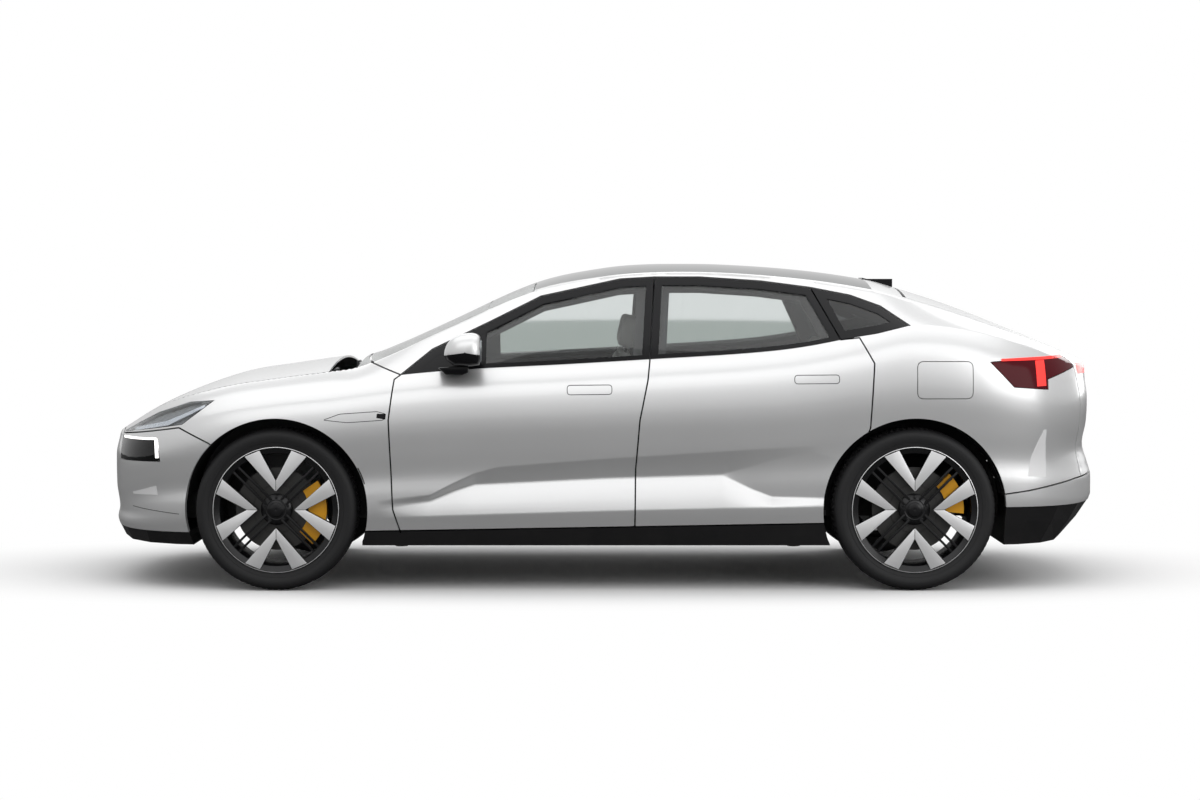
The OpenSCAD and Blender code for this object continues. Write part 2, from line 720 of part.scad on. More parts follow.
// Lug of a lid around its hinge axis, reaching away from the axis
lug_reach = 70;
lug_room = 34;
module lid_lug(x, z, y, away) {
    intersection() {
        body_form(seat_gap, seat_gap);
        translate([x, y, z]) rotate([90, 0, 0]) linear_extrude(lid_lug_w, center = true) hull() {
            circle(lid_lug_r, $fn = 20);
            translate([away * lug_reach, 0]) circle(lid_lug_r, $fn = 20);
        }
    }
}
above_seam_shares = [[.55, .4], [.826, .31], [.93, .338], [1.1, .365], [1.1, 1.1], [.55, 1.1]];
module tailgate() {
    color(silver) difference() {
        union() {
            difference() {
                union() {
                    intersection() {
                        shell(skin_t, skin_t);
                        plan_prism(diffuser_z) polygon(tailgate_outline);
                        cross_prism() polygon(side_points(above_seam_shares));
                    }
                    intersection() {
                        layer(skin_t - seat_gap, skin_t - seat_gap, 2 * lid_t, lid_t);
                        plan_prism(diffuser_z) opening(tailgate_outline, hem_w);
                        cross_prism() offset(delta = -ledge_w) polygon(side_points(above_seam_shares));
                    }
                }
                plan_prism() groove(tailgate_outline, panel_gap, true);
                cross_prism() shut_lines();
                intersection() {
                    body_form(skin_t, skin_t);
                    for (side = [-1, 1]) translate([tailgate_axis_x - cut, side * lid_hinge_ys[1][1] - cut,
                        tailgate_axis_z - cut]) cube([cut + lug_room, 2 * cut, 2 * cut]);
                }
            }
            for (side = [-1, 1]) lid_lug(tailgate_axis_x, tailgate_axis_z, side * lid_hinge_ys[1][0], 1);
        }
        light_bar_room();
        hinge_bore(tailgate_axis_x, tailgate_axis_z);
    }
}
// Light bar let into the tailgate
light_bar_shares = [[.90, .655], [1.1, .655], [1.1, .69], [.90, .69]];
light_bar_t = 18;
module light_bar_room() {
    intersection() {
        room(light_bar_t);
        cross_prism() polygon(side_points(light_bar_shares));
        plan_prism(diffuser_z) opening(tailgate_outline, hem_w);
    }
}
module light_bar() {
    color(lamp_red) intersection() {
        shell(light_bar_t - seat_gap, light_bar_t - seat_gap);
        cross_prism() offset(delta = -seat_gap) polygon(side_points(light_bar_shares));
        plan_prism(diffuser_z) opening(tailgate_outline, hem_w + seat_gap);
    }
}

// Fixed glass
module fixed_glass() {
    intersection() {
        shell(fixed_glass_t, fixed_glass_t);
        plan_prism(shoulder_z(0)) children();
    }
}
module windscreen() {
    color(glass_tint) difference() {
        fixed_glass() windscreen_plan(-panel_gap / 2);
        plan_prism() top_rail(windscreen_shares[0], windscreen_shares[1], seat_gap);
    }
}
module roof_glass() {
    color(glass_tint) difference() {
        fixed_glass() roof_plan(-panel_gap / 2);
        plan_prism() top_rail(roof_glass_shares[0], roof_glass_shares[1], seat_gap);
    }
}
module quarter_windows() {
    color(glass_tint) pair() window(quarter_outline);
}

// Lamps
lamp_depth = 38;
module headlamps() {
    color(lamp_clear) pair() intersection() {
        shell(lamp_depth, lamp_depth);
        side_prism() difference() {
            lamp_outlines(-seat_gap);
            groove(side_points(headlamp_shares), seat_gap, true);
            groove(side_points(tail_lamp_shares), seat_gap, true);
            square([2 * half_len, body_h]);
        }
        plan_prism() difference() {
            translate([-half_len - cut, -half_w - cut]) square([half_len + cut, body_w + 2 * cut]);
            bonnet_plan();
            bonnet_seam();
        }
    }
}
module tail_lamps() {
    color(lamp_red) pair() intersection() {
        shell(lamp_depth, lamp_depth);
        side_prism() difference() {
            offset(delta = -seat_gap) polygon(side_points(tail_lamp_shares));
            groove(side_points(tail_lamp_shares), seat_gap, true);
        }
        plan_prism() difference() {
            translate([0, -half_w - cut]) square([half_len + cut, body_w + 2 * cut]);
            polygon(tailgate_outline);
            groove(tailgate_outline, panel_gap, true);
        }
    }
}
pod_outline_shares = [[.535, .955], [.545, .9512], [.5975, .9512], [.5975, .92], [.535, .93]];
pod_w = 180;
module roof_pod() {
    color(satin_black) difference() {
        rotate([90, 0, 0]) linear_extrude(pod_w, center = true) polygon(side_points(pod_outline_shares));
        body_form(-seat_gap, -seat_gap);
    }
}

// Hinge pins and their brackets on the inner body
bracket_h = 16;
bracket_end_share = .7968;
bracket_end_y = half_w * bracket_end_share;
module door_bracket(hinge_x, z, grow = 0) {
    translate([hinge_x - hinge_arm_w / 2 - grow, -hinge_y - grow, z - bracket_h - grow])
        cube([hinge_arm_w + 2 * grow, hinge_y - bracket_end_y + 2 * grow, bracket_h + 2 * grow]);
}
lid_bracket_w = 26;
lid_bracket_drop = 130;
module lid_bracket(x, z, y, grow = 0) {
    translate([x - lid_pin_r - grow, y - lid_bracket_w / 2 - grow, z - lid_bracket_drop - grow])
        cube([2 * (lid_pin_r + grow), lid_bracket_w + 2 * grow, lid_bracket_drop + lid_pin_r + 2 * grow]);
}
module hinge_arm_room() {
    pair() {
        for (x = [front_hinge_x, rear_hinge_x], z = hinge_zs) door_bracket(x, z, seat_gap);
        lid_bracket(tailgate_axis_x, tailgate_axis_z, lid_hinge_ys[1][1], seat_gap);
        lid_bracket(bonnet_axis_x, bonnet_axis_z, lid_hinge_ys[0][1], seat_gap);
    }
}
module hinge_pins() {
    color(dark_trim) pair() {
        for (x = [front_hinge_x, rear_hinge_x], z = hinge_zs) {
            door_bracket(x, z);
            translate([x, -hinge_y, z - bracket_h]) cylinder(r = hinge_pin_r, h = bracket_h + hinge_lug_h);
        }
        lid_bracket(bonnet_axis_x, bonnet_axis_z, lid_hinge_ys[0][1]);
        translate([bonnet_axis_x, lid_hinge_ys[0][0] + lid_lug_w / 2, bonnet_axis_z]) rotate([90, 0, 0])
            cylinder(r = lid_pin_r, h = lid_hinge_ys[0][0] - lid_hinge_ys[0][1] + lid_lug_w / 2);
        lid_bracket(tailgate_axis_x, tailgate_axis_z, lid_hinge_ys[1][1]);
        translate([tailgate_axis_x, lid_hinge_ys[1][0] + lid_lug_w / 2, tailgate_axis_z]) rotate([90, 0, 0])
            cylinder(r = lid_pin_r, h = lid_hinge_ys[1][0] - lid_hinge_ys[1][1] + lid_lug_w / 2);
    }
}

// Welded inner body: floor, sills, walls, pillars, roof rails and load floor
liner_t = 5;
liner_gap = 2;
front_well_clear = 214;
rear_well_clear = 9;
front_well_y = mid_y - tyre_half - front_well_clear;
rear_well_y = mid_y - tyre_half - rear_well_clear;
// Blocks of the inner body: shares of half the length, half the width and the height
function share_block(shares) = [shares[0] * half_len, shares[1] * half_len, shares[2] * half_w,
    shares[3] * half_w,
    shares[4] * body_h, shares[5] * body_h];
floor_shares = [-.4752, .4401, -.7171, .7171, .215, .2316];
floor_block = share_block(floor_shares);
floor_z = floor_block[4];
floor_top_z = floor_block[5];
sill_block_shares = [-.4504, .4132, .6972, .8118, .215, .2727];
sill_block = share_block(sill_block_shares);
wall_block_shares = [-.4793, -.4669, -.7769, .7769, .215, .6039];
wall_block = share_block(wall_block_shares);
apron_block_shares = [-.9339, -.4669, .4382, .4781, .1948, .5844];
apron_block = share_block(apron_block_shares);
beam_block_shares = [-.9917, -.9215, -.5578, .5578, .3052, .3831];
beam_block = share_block(beam_block_shares);
beam_end_block_shares = [-.9463, -.9215, -.5179, .5179, .1948, .4156];
beam_end_block = share_block(beam_end_block_shares);
step_block_shares = [.4298, .4401, -.6773, .6773, .215, .3974];
step_block = share_block(step_block_shares);
load_block_shares = [.4298, .905, -.5976, .5976, .3831, .3974];
load_block = share_block(load_block_shares);
tail_block_shares = [.8884, .905, -.5578, .5578, .2597, .3974];
tail_block = share_block(tail_block_shares);
tail_beam_block_shares = [.8884, .9917, -.5578, .5578, .2857, .3247];
tail_beam_block = share_block(tail_beam_block_shares);
roof_bow_block_shares = [.595, .6198, -.8466, .8466, .8117, .8344];
roof_bow_block = share_block(roof_bow_block_shares);
cowl_block_shares = [-.5496, -.4669, -.6175, .6175, .5714, .5877];
cowl_block = share_block(cowl_block_shares);
post_block_shares = [[-.4174, -.3603, .7869, .8566, .215, .6039],
    [.0661, .1231, .7769, .8267, .215, .6039]];
post_blocks = [for (shares = post_block_shares) share_block(shares)];
// Shelves over the wheels, the cross member over the front drive unit and the gap in the aprons for the
// arms
shelf_half = 180;
shelf_t = 26;
shelf_clear = 3.7;
shelf_z = hub_z + arch_r + liner_gap + liner_t + seat_gap + shelf_clear;
shelf_in_shares = [.4382, .6574];
shelf_blocks = [for (end = [[front_axle_x, shelf_in_shares[0]], [rear_axle_x, shelf_in_shares[1]]])
    [end[0] - shelf_half, end[0] + shelf_half, end[1] * half_w, half_w, shelf_z, shelf_z + shelf_t]];
cross_half = 80;
cross_t = 30;
cross_rise = 238;
cross_w_share = .4781;
front_cross_z = hub_z + cross_rise;
front_cross_block = [front_axle_x - cross_half, front_axle_x + cross_half, -cross_w_share * half_w,
    cross_w_share * half_w,
    front_cross_z, front_cross_z + cross_t];
apron_gap_half = 160;
apron_gap_block = [front_axle_x - apron_gap_half, front_axle_x + apron_gap_half, -half_w, half_w, 0,
    front_cross_z];
cage_shares = [[-.49, .21], [.78, .21], [.78, .92], [.60, 1.1], [-.2, 1.1], [-.49, .72]];
aperture_band = 78;
roof_open_in = 150;
well_facets = 48;
module well(axle_x, from_y, r) {
    translate([axle_x, -from_y, hub_z]) rotate([90, 0, 0]) cylinder(r = r / cos(180 / well_facets),
        h = half_w, $fn = well_facets);
}
module underbody_blocks() {
    block(floor_block);
    pair() block(sill_block);
    block(wall_block);
    block(cowl_block);
    block(step_block);
    block(front_cross_block);
    block(load_block);
    pair() intersection() {
        body_form(bay_floor, bay_floor);
        block(apron_block);
    }
    pair() intersection() {
        body_form(skin_t + 3 * seat_gap, skin_t + 3 * seat_gap);
        block(shelf_blocks[0]);
    }
    intersection() {
        body_form(bumper_t + seat_gap, bumper_t + seat_gap);
        union() {
            block(beam_block);
            block(beam_end_block);
            block(tail_beam_block);
            block(tail_block);
        }
    }
}
module wells() {
    pair() {
        well(front_axle_x, front_well_y, arch_r + liner_gap + liner_t + seat_gap);
        well(rear_axle_x, rear_well_y, arch_r + liner_gap + liner_t + seat_gap);
    }
}
module underbody() {
    color(dark_trim) difference() {
        underbody_blocks();
        block(apron_gap_block);
        wells();
        hinge_arm_room();
    }
}
// A block with the seating clearance all round, for what stands against it.
module block_room(b) {
    block([for (i = [0 : 5]) b[i] + (i % 2 == 0 ? -seat_gap : seat_gap)]);
}
module body_cage() {
    color(dark_trim) difference() {
        union() {
            difference() {
                intersection() {
                    layer(inner_side, inner_top, inner_side + cage_t, inner_top + cage_t);
                    cross_prism() polygon(side_points(cage_shares));
                }
                pair() side_prism() {
                    opening(front_door_outline, aperture_band);
                    opening(rear_door_outline, aperture_band);
                    window_2d(quarter_outline, aperture_band / 2);
                }
                plan_prism(shoulder_z(-1)) top_region(windscreen_shares[0], roof_glass_shares[1],
                    -roof_open_in);
                plan_prism() offset(delta = cut) polygon(tailgate_outline);
            }
            pair() for (b = post_blocks) block(b);
            intersection() {
                body_form(inner_side, inner_top);
                block(roof_bow_block);
            }
            pair() intersection() {
                body_form(inner_side, inner_top);
                block(shelf_blocks[1]);
            }
        }
        for (b = [floor_block, wall_block, cowl_block, step_block, load_block, tail_block]) block_room(b);
        pair() block_room(sill_block);
        wells();
        hinge_arm_room();
    }
}
// Room behind the skins for the liners' edges
module liner_room() {
    intersection() {
        body_form(skin_t, skin_t);
        wells();
    }
}
module liner(axle_x, from_y) {
    translate([axle_x, -from_y, hub_z]) rotate([90, 0, 0]) difference() {
        cylinder(r = arch_r + liner_gap + liner_t, h = half_w);
        translate([0, 0, -cut]) cylinder(r = arch_r + liner_gap, h = half_w + 2 * cut);
        translate([-half_w, -half_w - hub_z, -cut]) cube([body_w, half_w + hub_z + cut, half_w + 2 * cut]);
    }
}
module wheel_liners() {
    color(satin_black) pair() difference() {
        intersection() {
            body_form(skin_t + seat_gap, skin_t + seat_gap);
            union() {
                liner(front_axle_x, front_well_y + liner_gap);
                liner(rear_axle_x, rear_well_y + liner_gap);
            }
        }
        intersection() {
            room(inner_side);
            side_prism() offset(delta = panel_gap) polygon(rear_door_outline);
        }
    }
}

// Tray below the windscreen and the cover of the front load bay
cowl_depth = 72;
cowl_t = 20;
module cowl() {
    color(satin_black) difference() {
        intersection() {
            layer(cowl_depth, cowl_depth, cowl_depth + cowl_t, cowl_depth + cowl_t);
            plan_prism(shoulder_z(-1)) top_region(cowl_shares[0], cowl_shares[1], -cowl_in);
        }
        hinge_arm_room();
        plan_prism() top_rail(cowl_shares[0], cowl_shares[1], seat_gap);
    }
}
cowl_shares = [-.535, -.492];
cowl_in = 90;
bay_cover_depth = 62;
bay_cover_t = 14;
bay_floor = bay_cover_depth + bay_cover_t + 2 * seat_gap;
bay_cover_shares = [-.90, -.548];
bay_cover_in = 110;
module bay_cover() {
    color(satin_black) difference() {
        intersection() {
            layer(bay_cover_depth, bay_cover_depth, bay_cover_depth + bay_cover_t,
                bay_cover_depth + bay_cover_t);
            plan_prism(shoulder_z(-1)) top_region(bay_cover_shares[0], bay_cover_shares[1], -bay_cover_in);
        }
        hinge_arm_room();
        plan_prism() top_rail(bay_cover_shares[0], bay_cover_shares[1], seat_gap);
    }
}

// Battery and drive units, plain masses at their places
battery_shares = [-.4132, .405, .7171];
battery_drop = 6;
battery_block = [battery_shares[0] * half_len, battery_shares[1] * half_len, -battery_shares[2] * half_w,
    battery_shares[2] * half_w, sill_z - battery_drop, floor_z - seat_gap];
arm_inner_y = 330;
unit_reaches = [[140, 140], [150, 180]];
unit_drop = 132;
front_unit_block = [front_axle_x - unit_reaches[0][0], front_axle_x + unit_reaches[0][1],
    -arm_inner_y, arm_inner_y,
    hub_z - unit_drop, front_cross_z - seat_gap];
rear_unit_block = [rear_axle_x - unit_reaches[1][0], rear_axle_x + unit_reaches[1][1],
    -arm_inner_y, arm_inner_y,
    hub_z - unit_drop, load_block[4] - seat_gap];
module battery_pack() { color(dark_trim) block(battery_block); }
module drive_units() {
    color(machined) {
        block(front_unit_block);
        block(rear_unit_block);
    }
}
pad_r = 30;
pad_x_shares = [-.3967, .3719];
pad_y_share = .8267;
pad_xs = half_len * pad_x_shares;
pad_y = half_w * pad_y_share;
pad_h = 12;
module jacking_pads() {
    color(satin_black) pair() for (x = pad_xs)
        translate([x, -pad_y, sill_z - pad_h - seat_gap]) cylinder(r = pad_r, h = pad_h);
}
socket_r = 42;
socket_len = 30;
socket_seat_share = .91584;
socket_y = half_w * socket_seat_share;
socket_pin_r = 3;
socket_pin_reach = 18;
module charge_socket() {
    color(satin_black) translate([flap_centre_x, -socket_y, flap_centre_z]) rotate([90, 0,
        0]) difference() {
        cylinder(r = socket_r, h = socket_len);
        for (i = [0:6]) rotate(i * 360 / 7) translate([i == 0 ? 0 : socket_pin_reach, 0, socket_len / 2])
            cylinder(r = socket_pin_r, h = socket_len);
    }
}
flap_centre_x = half_len * (flap_shares[0][0] + flap_shares[1][0]) / 2;
flap_centre_z = body_h * (flap_shares[0][1] + flap_shares[2][1]) / 2;

// Cabin
seat_y_share = .3486;
seat_y = half_w * seat_y_share;
seat_w = 470;
// Side profiles of the seats above the floor: shares of half the length and of the height
seat_shares = [[-.2149, 0], [-.0165, 0], [.0165, .0799], [.0455, .2617], [.0785, .476], [.062, .489],
    [.0579, .4955], [.0785, .6058], [.0372, .6058], [.0248, .5019], [.0083, .489], [-.0289, .1838],
    [-.0496, .1578], [-.2314, .1708], [-.2397, .1188]];
bench_w_share = 1.235;
bench_w = half_w * bench_w_share;
bench_shares = [[.1942, 0], [.4112, 0], [.4112, .1188], [.4752, .476], [.4835, .5474], [.4504, .5539],
    [.4339, .4695], [.3843, .1578], [.3636, .1448], [.186, .1578], [.1777, .1058]];
function seat_points(shares) = [for (p = shares) [p[0] * half_len, floor_top_z + seat_gap + p[1] * body_h]];
dash_w_share = 1.195;
dash_w = half_w * dash_w_share;
dash_x = wall_block[1] + seat_gap;
dash_z_shares = [.4156, .6364];
dash_shares = [[-.4132, .6468], [-.3636, .6364], [-.343, .6039], [-.3512, .5584], [-.3967, .5065],
    [-.405, .4156]];
dash_points = concat([for (share = dash_z_shares) [dash_x, share * body_h]], side_points(dash_shares));
module across(points, width) {
    rotate([90, 0, 0]) linear_extrude(width, center = true) polygon(points);
}
module front_seats() {
    color(pale_trim) pair() translate([0, -seat_y, 0]) across(seat_points(seat_shares), seat_w);
}
module rear_bench() { color(pale_trim) across(seat_points(bench_shares), bench_w); }
module dashboard() {
    color(dark_trim) difference() {
        across(dash_points, dash_w);
        steering_column(column_r + seat_gap);
    }
}
module steering_column(r) {
    translate(grip_place) rotate([0, grip_tilt, 0]) translate([0, 0, -column_len]) cylinder(r = r,
        h = column_len);
}
wheel_grip_r = 180;
grip_r = 15;
grip_shares = [-.3058, -.3685, .6071];
grip_place = [grip_shares[0] * half_len, grip_shares[1] * half_w, grip_shares[2] * body_h];
grip_tilt = 68;
column_len = 150;
column_r = 26;
hub_r = 50;
hub_t = 30;
module steering_wheel() {
    color(satin_black) translate(grip_place) rotate([0, grip_tilt, 0]) {
        rotate_extrude() translate([wheel_grip_r, 0]) circle(grip_r);
        cylinder(r = hub_r, h = hub_t, center = true);
        for (a = [90, -90, 180]) rotate(a) translate([0, -grip_r, -grip_r / 2]) cube([wheel_grip_r,
            2 * grip_r, grip_r]);
    }
    color(satin_black) steering_column(column_r);
}

// Running gear
spindle_r = 28;
kingpin_in = 15;
kingpin_y = mid_y - kingpin_in;
kingpin_r = 14;
running_fit = 0.05;
knuckle_w = 60;
knuckle_l = 90;
knuckle_h = 170;
// Places across the wheel, outward from its mid-plane
hub_inner_out = 65;
hub_outer_out = 126;
spindle_out = 118;
disc_out = 28;
hub_inner_y = mid_y + hub_inner_out;
hub_outer_y = mid_y + hub_outer_out;
spindle_end_y = mid_y + spindle_out;
disc_inner_y = mid_y + disc_out;
arm_w = 60;
arm_end = 22;
arm_t = 36;
shaft_r = 20;
shaft_in = 76;
shaft_end_y = mid_y - shaft_in;
caliper_in_r = 150;
caliper_out_r = 235;
caliper_leg_t = 14;
caliper_clear = 5;
// Caliper spans as angles rearward of the axle, from level
caliper_spans = [[-45, 35], [-5, 45]];

module on_axle(axle_x) {
    translate([axle_x, 0, hub_z]) rotate([90, 0, 0]) children();
}
// Sector between two radii and two angles
module sector(inner, outer, span) {
    steps = 8;
    angles = [for (i = [0:steps]) span[0] + (span[1] - span[0]) * i / steps];
    polygon(concat([for (a = angles) outer * [cos(a), sin(a)]],
        [for (i = [steps:-1:0]) inner * [cos(angles[i]), sin(angles[i])]]));
}
disc_outer_y = disc_inner_y + disc_t;
caliper_inner_y = disc_inner_y - caliper_clear - caliper_leg_t;
caliper_outer_y = disc_outer_y + caliper_clear + caliper_leg_t;
module caliper(axle_x, span) {
    on_axle(axle_x) {
        translate([0, 0, caliper_inner_y]) linear_extrude(caliper_leg_t) sector(caliper_in_r,
            caliper_out_r, span);
        translate([0, 0, caliper_outer_y - caliper_leg_t]) linear_extrude(caliper_leg_t)
            sector(caliper_in_r, caliper_out_r, span);
        translate([0, 0, caliper_inner_y]) linear_extrude(caliper_outer_y - caliper_inner_y)
            sector(disc_d / 2 + caliper_clear, caliper_out_r, span);
    }
}
module upright(axle_x, bore, span) {
    difference() {
        union() {
            translate([axle_x - knuckle_l / 2, -kingpin_y - knuckle_w / 2, hub_z - knuckle_h / 2])
                cube([knuckle_l, knuckle_w, knuckle_h]);
            on_axle(axle_x) translate([0, 0, kingpin_y]) cylinder(r = spindle_r,
                h = spindle_end_y - kingpin_y);
            on_axle(axle_x) translate([0, 0,
                kingpin_y]) linear_extrude(caliper_inner_y - kingpin_y - seat_gap)
                sector(spindle_r, (caliper_in_r + caliper_out_r) / 2, span);
        }
        if (bore > 0) translate([axle_x, -kingpin_y, 0]) cylinder(r = bore, h = body_h);
    }
}
module knuckle_left() { color(dark_trim) upright(front_axle_x, kingpin_r + running_fit, caliper_spans[0]); }
module knuckle_right() { mirror([0, 1, 0]) knuckle_left(); }
module caliper_left() { color(caliper_gold) caliper(front_axle_x, caliper_spans[0]); }
module caliper_right() { mirror([0, 1, 0]) caliper_left(); }
module rear_calipers() { color(caliper_gold) pair() caliper(rear_axle_x, caliper_spans[1]); }
module arms(axle_x) {
    for (z = [hub_z - knuckle_h / 2 - arm_t - seat_gap, hub_z + knuckle_h / 2 + seat_gap])
        translate([axle_x - arm_w / 2, -kingpin_y - arm_end, z])
            cube([arm_w, kingpin_y + arm_end - arm_inner_y - seat_gap, arm_t]);
    translate([axle_x, -arm_inner_y - seat_gap, hub_z]) rotate([90, 0, 0])
        cylinder(r = shaft_r, h = shaft_end_y - arm_inner_y - seat_gap);
}
module suspension() {
    color(dark_trim) pair() {
        arms(front_axle_x);
        translate([front_axle_x, -kingpin_y, hub_z - knuckle_h / 2 - arm_t - seat_gap])
            cylinder(r = kingpin_r, h = knuckle_h + 2 * arm_t + 2 * seat_gap);
        arms(rear_axle_x);
        upright(rear_axle_x, 0, caliper_spans[1]);
    }
}
// Wheels
rim_r = rim_d / 2;
flange_h = 17;
barrel_t = 18;
flange_r = rim_r + flange_h;
barrel_r = rim_r - barrel_t;
flange_w = 9;
tread_shoulder = 26;
side_bulge = 12;
bead_half = tyre_half - side_bulge;
tyre_half_points = [[rim_r + seat_gap, bead_half], [flange_r + 2 * seat_gap, bead_half],
    [flange_r + side_bulge, tyre_half - side_bulge / 3], [(flange_r + hub_z) / 2 + side_bulge, tyre_half],
    [hub_z - tread_shoulder / 2, tyre_half - tread_shoulder / 2], [hub_z, tyre_half - 2 * tread_shoulder]];
module tyre(axle_x) {
    color(satin_black) on_axle(axle_x) translate([0, 0, mid_y]) rotate_extrude()
        polygon(concat(tyre_half_points, [for (i = [len(tyre_half_points) - 1:-1:0])
            [tyre_half_points[i][0], -tyre_half_points[i][1]]]));
}
// Machined V spokes: share of the rim radius at the apex, the notch and the outer ends, and the half
// angles there
spoke_shares = [.30, .48];
spoke_angles = [30, 16.5];
spoke_end = barrel_r + flange_w;
bar_w = 11;
bar_apart = 33;
spoke_t = 40;
hub_plate_r = 78;
cap_r = 32;
module rim(axle_x) {
    color(machined) on_axle(axle_x) difference() {
        union() {
            translate([0, 0, mid_y]) rotate_extrude() polygon([
                [barrel_r, -bead_half - flange_w], [flange_r, -bead_half - flange_w],
                [flange_r, -bead_half - seat_gap], [rim_r, -bead_half - seat_gap],
                [rim_r, bead_half + seat_gap], [flange_r, bead_half + seat_gap],
                [flange_r, bead_half + flange_w], [barrel_r, bead_half + flange_w]]);
            translate([0, 0, hub_outer_y - spoke_t]) linear_extrude(spoke_t) {
                for (q = [0:3]) rotate(q * 90 + 90) for (side = [-1,
                    1]) polygon([[spoke_shares[0] * rim_r, 0],
                    spoke_end * [cos(spoke_angles[0]), side * sin(spoke_angles[0])],
                    spoke_end * [cos(spoke_angles[1]), side * sin(spoke_angles[1])],
                        [spoke_shares[1] * rim_r, 0]]);
                for (q = [0:3]) rotate(q * 90 + 45) for (side = [-1, 1])
                    translate([0, side * bar_apart / 2 - bar_w / 2]) square([spoke_end, bar_w]);
            }
            translate([0, 0, hub_inner_y]) cylinder(r = hub_plate_r, h = hub_outer_y - hub_inner_y);
            translate([0, 0, hub_outer_y]) cylinder(r = cap_r, h = flange_w / 3);
        }
        cylinder(r = spindle_r + running_fit, h = spindle_end_y + caliper_clear);
    }
}
hat_r = 112;
module disc(axle_x) {
    color(machined) on_axle(axle_x) difference() {
        union() {
            translate([0, 0, disc_inner_y]) cylinder(r = disc_d / 2, h = disc_t);
            translate([0, 0, disc_inner_y]) cylinder(r = hat_r, h = hub_inner_y - disc_inner_y - seat_gap);
        }
        cylinder(r = spindle_r + caliper_clear, h = half_w);
    }
}
module tyre_front_left() { tyre(front_axle_x); }
module tyre_front_right() { mirror([0, 1, 0]) tyre(front_axle_x); }
module tyre_rear_left() { tyre(rear_axle_x); }
module tyre_rear_right() { mirror([0, 1, 0]) tyre(rear_axle_x); }
module rim_front_left() { rim(front_axle_x); }
module rim_front_right() { mirror([0, 1, 0]) rim(front_axle_x); }
module rim_rear_left() { rim(rear_axle_x); }
module rim_rear_right() { mirror([0, 1, 0]) rim(rear_axle_x); }
module disc_front_left() { disc(front_axle_x); }
module disc_front_right() { mirror([0, 1, 0]) disc(front_axle_x); }
module disc_rear_left() { disc(rear_axle_x); }
module disc_rear_right() { mirror([0, 1, 0]) disc(rear_axle_x); }

// Door mirrors: a rounded head that tapers outward, on a foot at the front corner of the window
mirror_shares = [-.2694, -1.004, .7370];
mirror_place = [mirror_shares[0] * half_len, mirror_shares[1] * half_w, mirror_shares[2] * body_h];
mirror_size = [184, 204, 158];
mirror_round_r = 44;
mirror_end_share = .82;
mirror_foot_size = [150, 150, 50];
mirror_foot_drop = 42;
mirror_foot_lead = 50;
module mirror_left() {
    color(silver) difference() {
        union() {
            translate(mirror_place) hull() for (x = [-1, 1], y = [-1, 1], z = [-1, 1])
                translate([x * (mirror_size[0] / 2 * (y < 0 ? mirror_end_share : 1) - mirror_round_r),
                    y * (mirror_size[1] / 2 - mirror_round_r),
                    z * (mirror_size[2] / 2 * (y < 0 ? mirror_end_share : 1) - mirror_round_r)])
                    sphere(mirror_round_r, $fn = 16);
            translate([mirror_place[0] - mirror_foot_size[0] / 2 - mirror_foot_lead, mirror_place[1],
                mirror_place[2] - mirror_size[2] / 2 - mirror_foot_drop]) cube(mirror_foot_size);
        }
        body_form(-seat_gap, -seat_gap);
    }
}
module mirror_right() { mirror([0, 1, 0]) mirror_left(); }

underbody();
body_cage();
body_frame();
front_fenders();
front_bumper();
rear_bumper();
lower_cladding();
wheel_liners();
cowl();
bay_cover();
windscreen();
roof_glass();
quarter_windows();
headlamps();
tail_lamps();
roof_pod();
battery_pack();
drive_units();
dashboard();
front_seats();
rear_bench();
steering_wheel();
suspension();
rear_calipers();
hinge_pins();
jacking_pads();
charge_socket();
bonnet();
tailgate();
light_bar();
charge_flap();
door_front_left();
door_front_right();
door_rear_left();
door_rear_right();
window_front_left();
window_front_right();
window_rear_left();
window_rear_right();
mirror_left();
mirror_right();
knuckle_left();
knuckle_right();
caliper_left();
caliper_right();
tyre_front_left();
tyre_front_right();
tyre_rear_left();
tyre_rear_right();
rim_front_left();
rim_front_right();
rim_rear_left();
rim_rear_right();
disc_front_left();
disc_front_right();
disc_rear_left();
disc_rear_right();
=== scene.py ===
import bpy
import bmesh
import math
import numpy as np
from mathutils import Matrix, Vector
from mathutils.geometry import delaunay_2d_cdt


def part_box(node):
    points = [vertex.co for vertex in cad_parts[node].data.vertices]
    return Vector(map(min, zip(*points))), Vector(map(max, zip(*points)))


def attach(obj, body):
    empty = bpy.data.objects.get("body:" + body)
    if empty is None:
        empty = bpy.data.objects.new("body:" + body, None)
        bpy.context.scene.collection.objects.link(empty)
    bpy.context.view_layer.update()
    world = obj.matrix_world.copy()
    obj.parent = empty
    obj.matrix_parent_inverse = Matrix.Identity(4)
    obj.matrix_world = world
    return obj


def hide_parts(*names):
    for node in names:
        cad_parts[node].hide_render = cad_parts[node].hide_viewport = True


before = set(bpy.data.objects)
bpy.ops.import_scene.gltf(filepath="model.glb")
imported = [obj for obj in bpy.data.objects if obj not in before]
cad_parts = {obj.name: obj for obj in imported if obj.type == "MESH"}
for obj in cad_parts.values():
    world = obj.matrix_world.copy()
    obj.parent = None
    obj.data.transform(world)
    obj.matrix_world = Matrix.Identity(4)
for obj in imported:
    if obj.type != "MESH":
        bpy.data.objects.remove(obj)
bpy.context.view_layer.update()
scene = bpy.context.scene
print("frame loaded,", len(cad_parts), "solids")

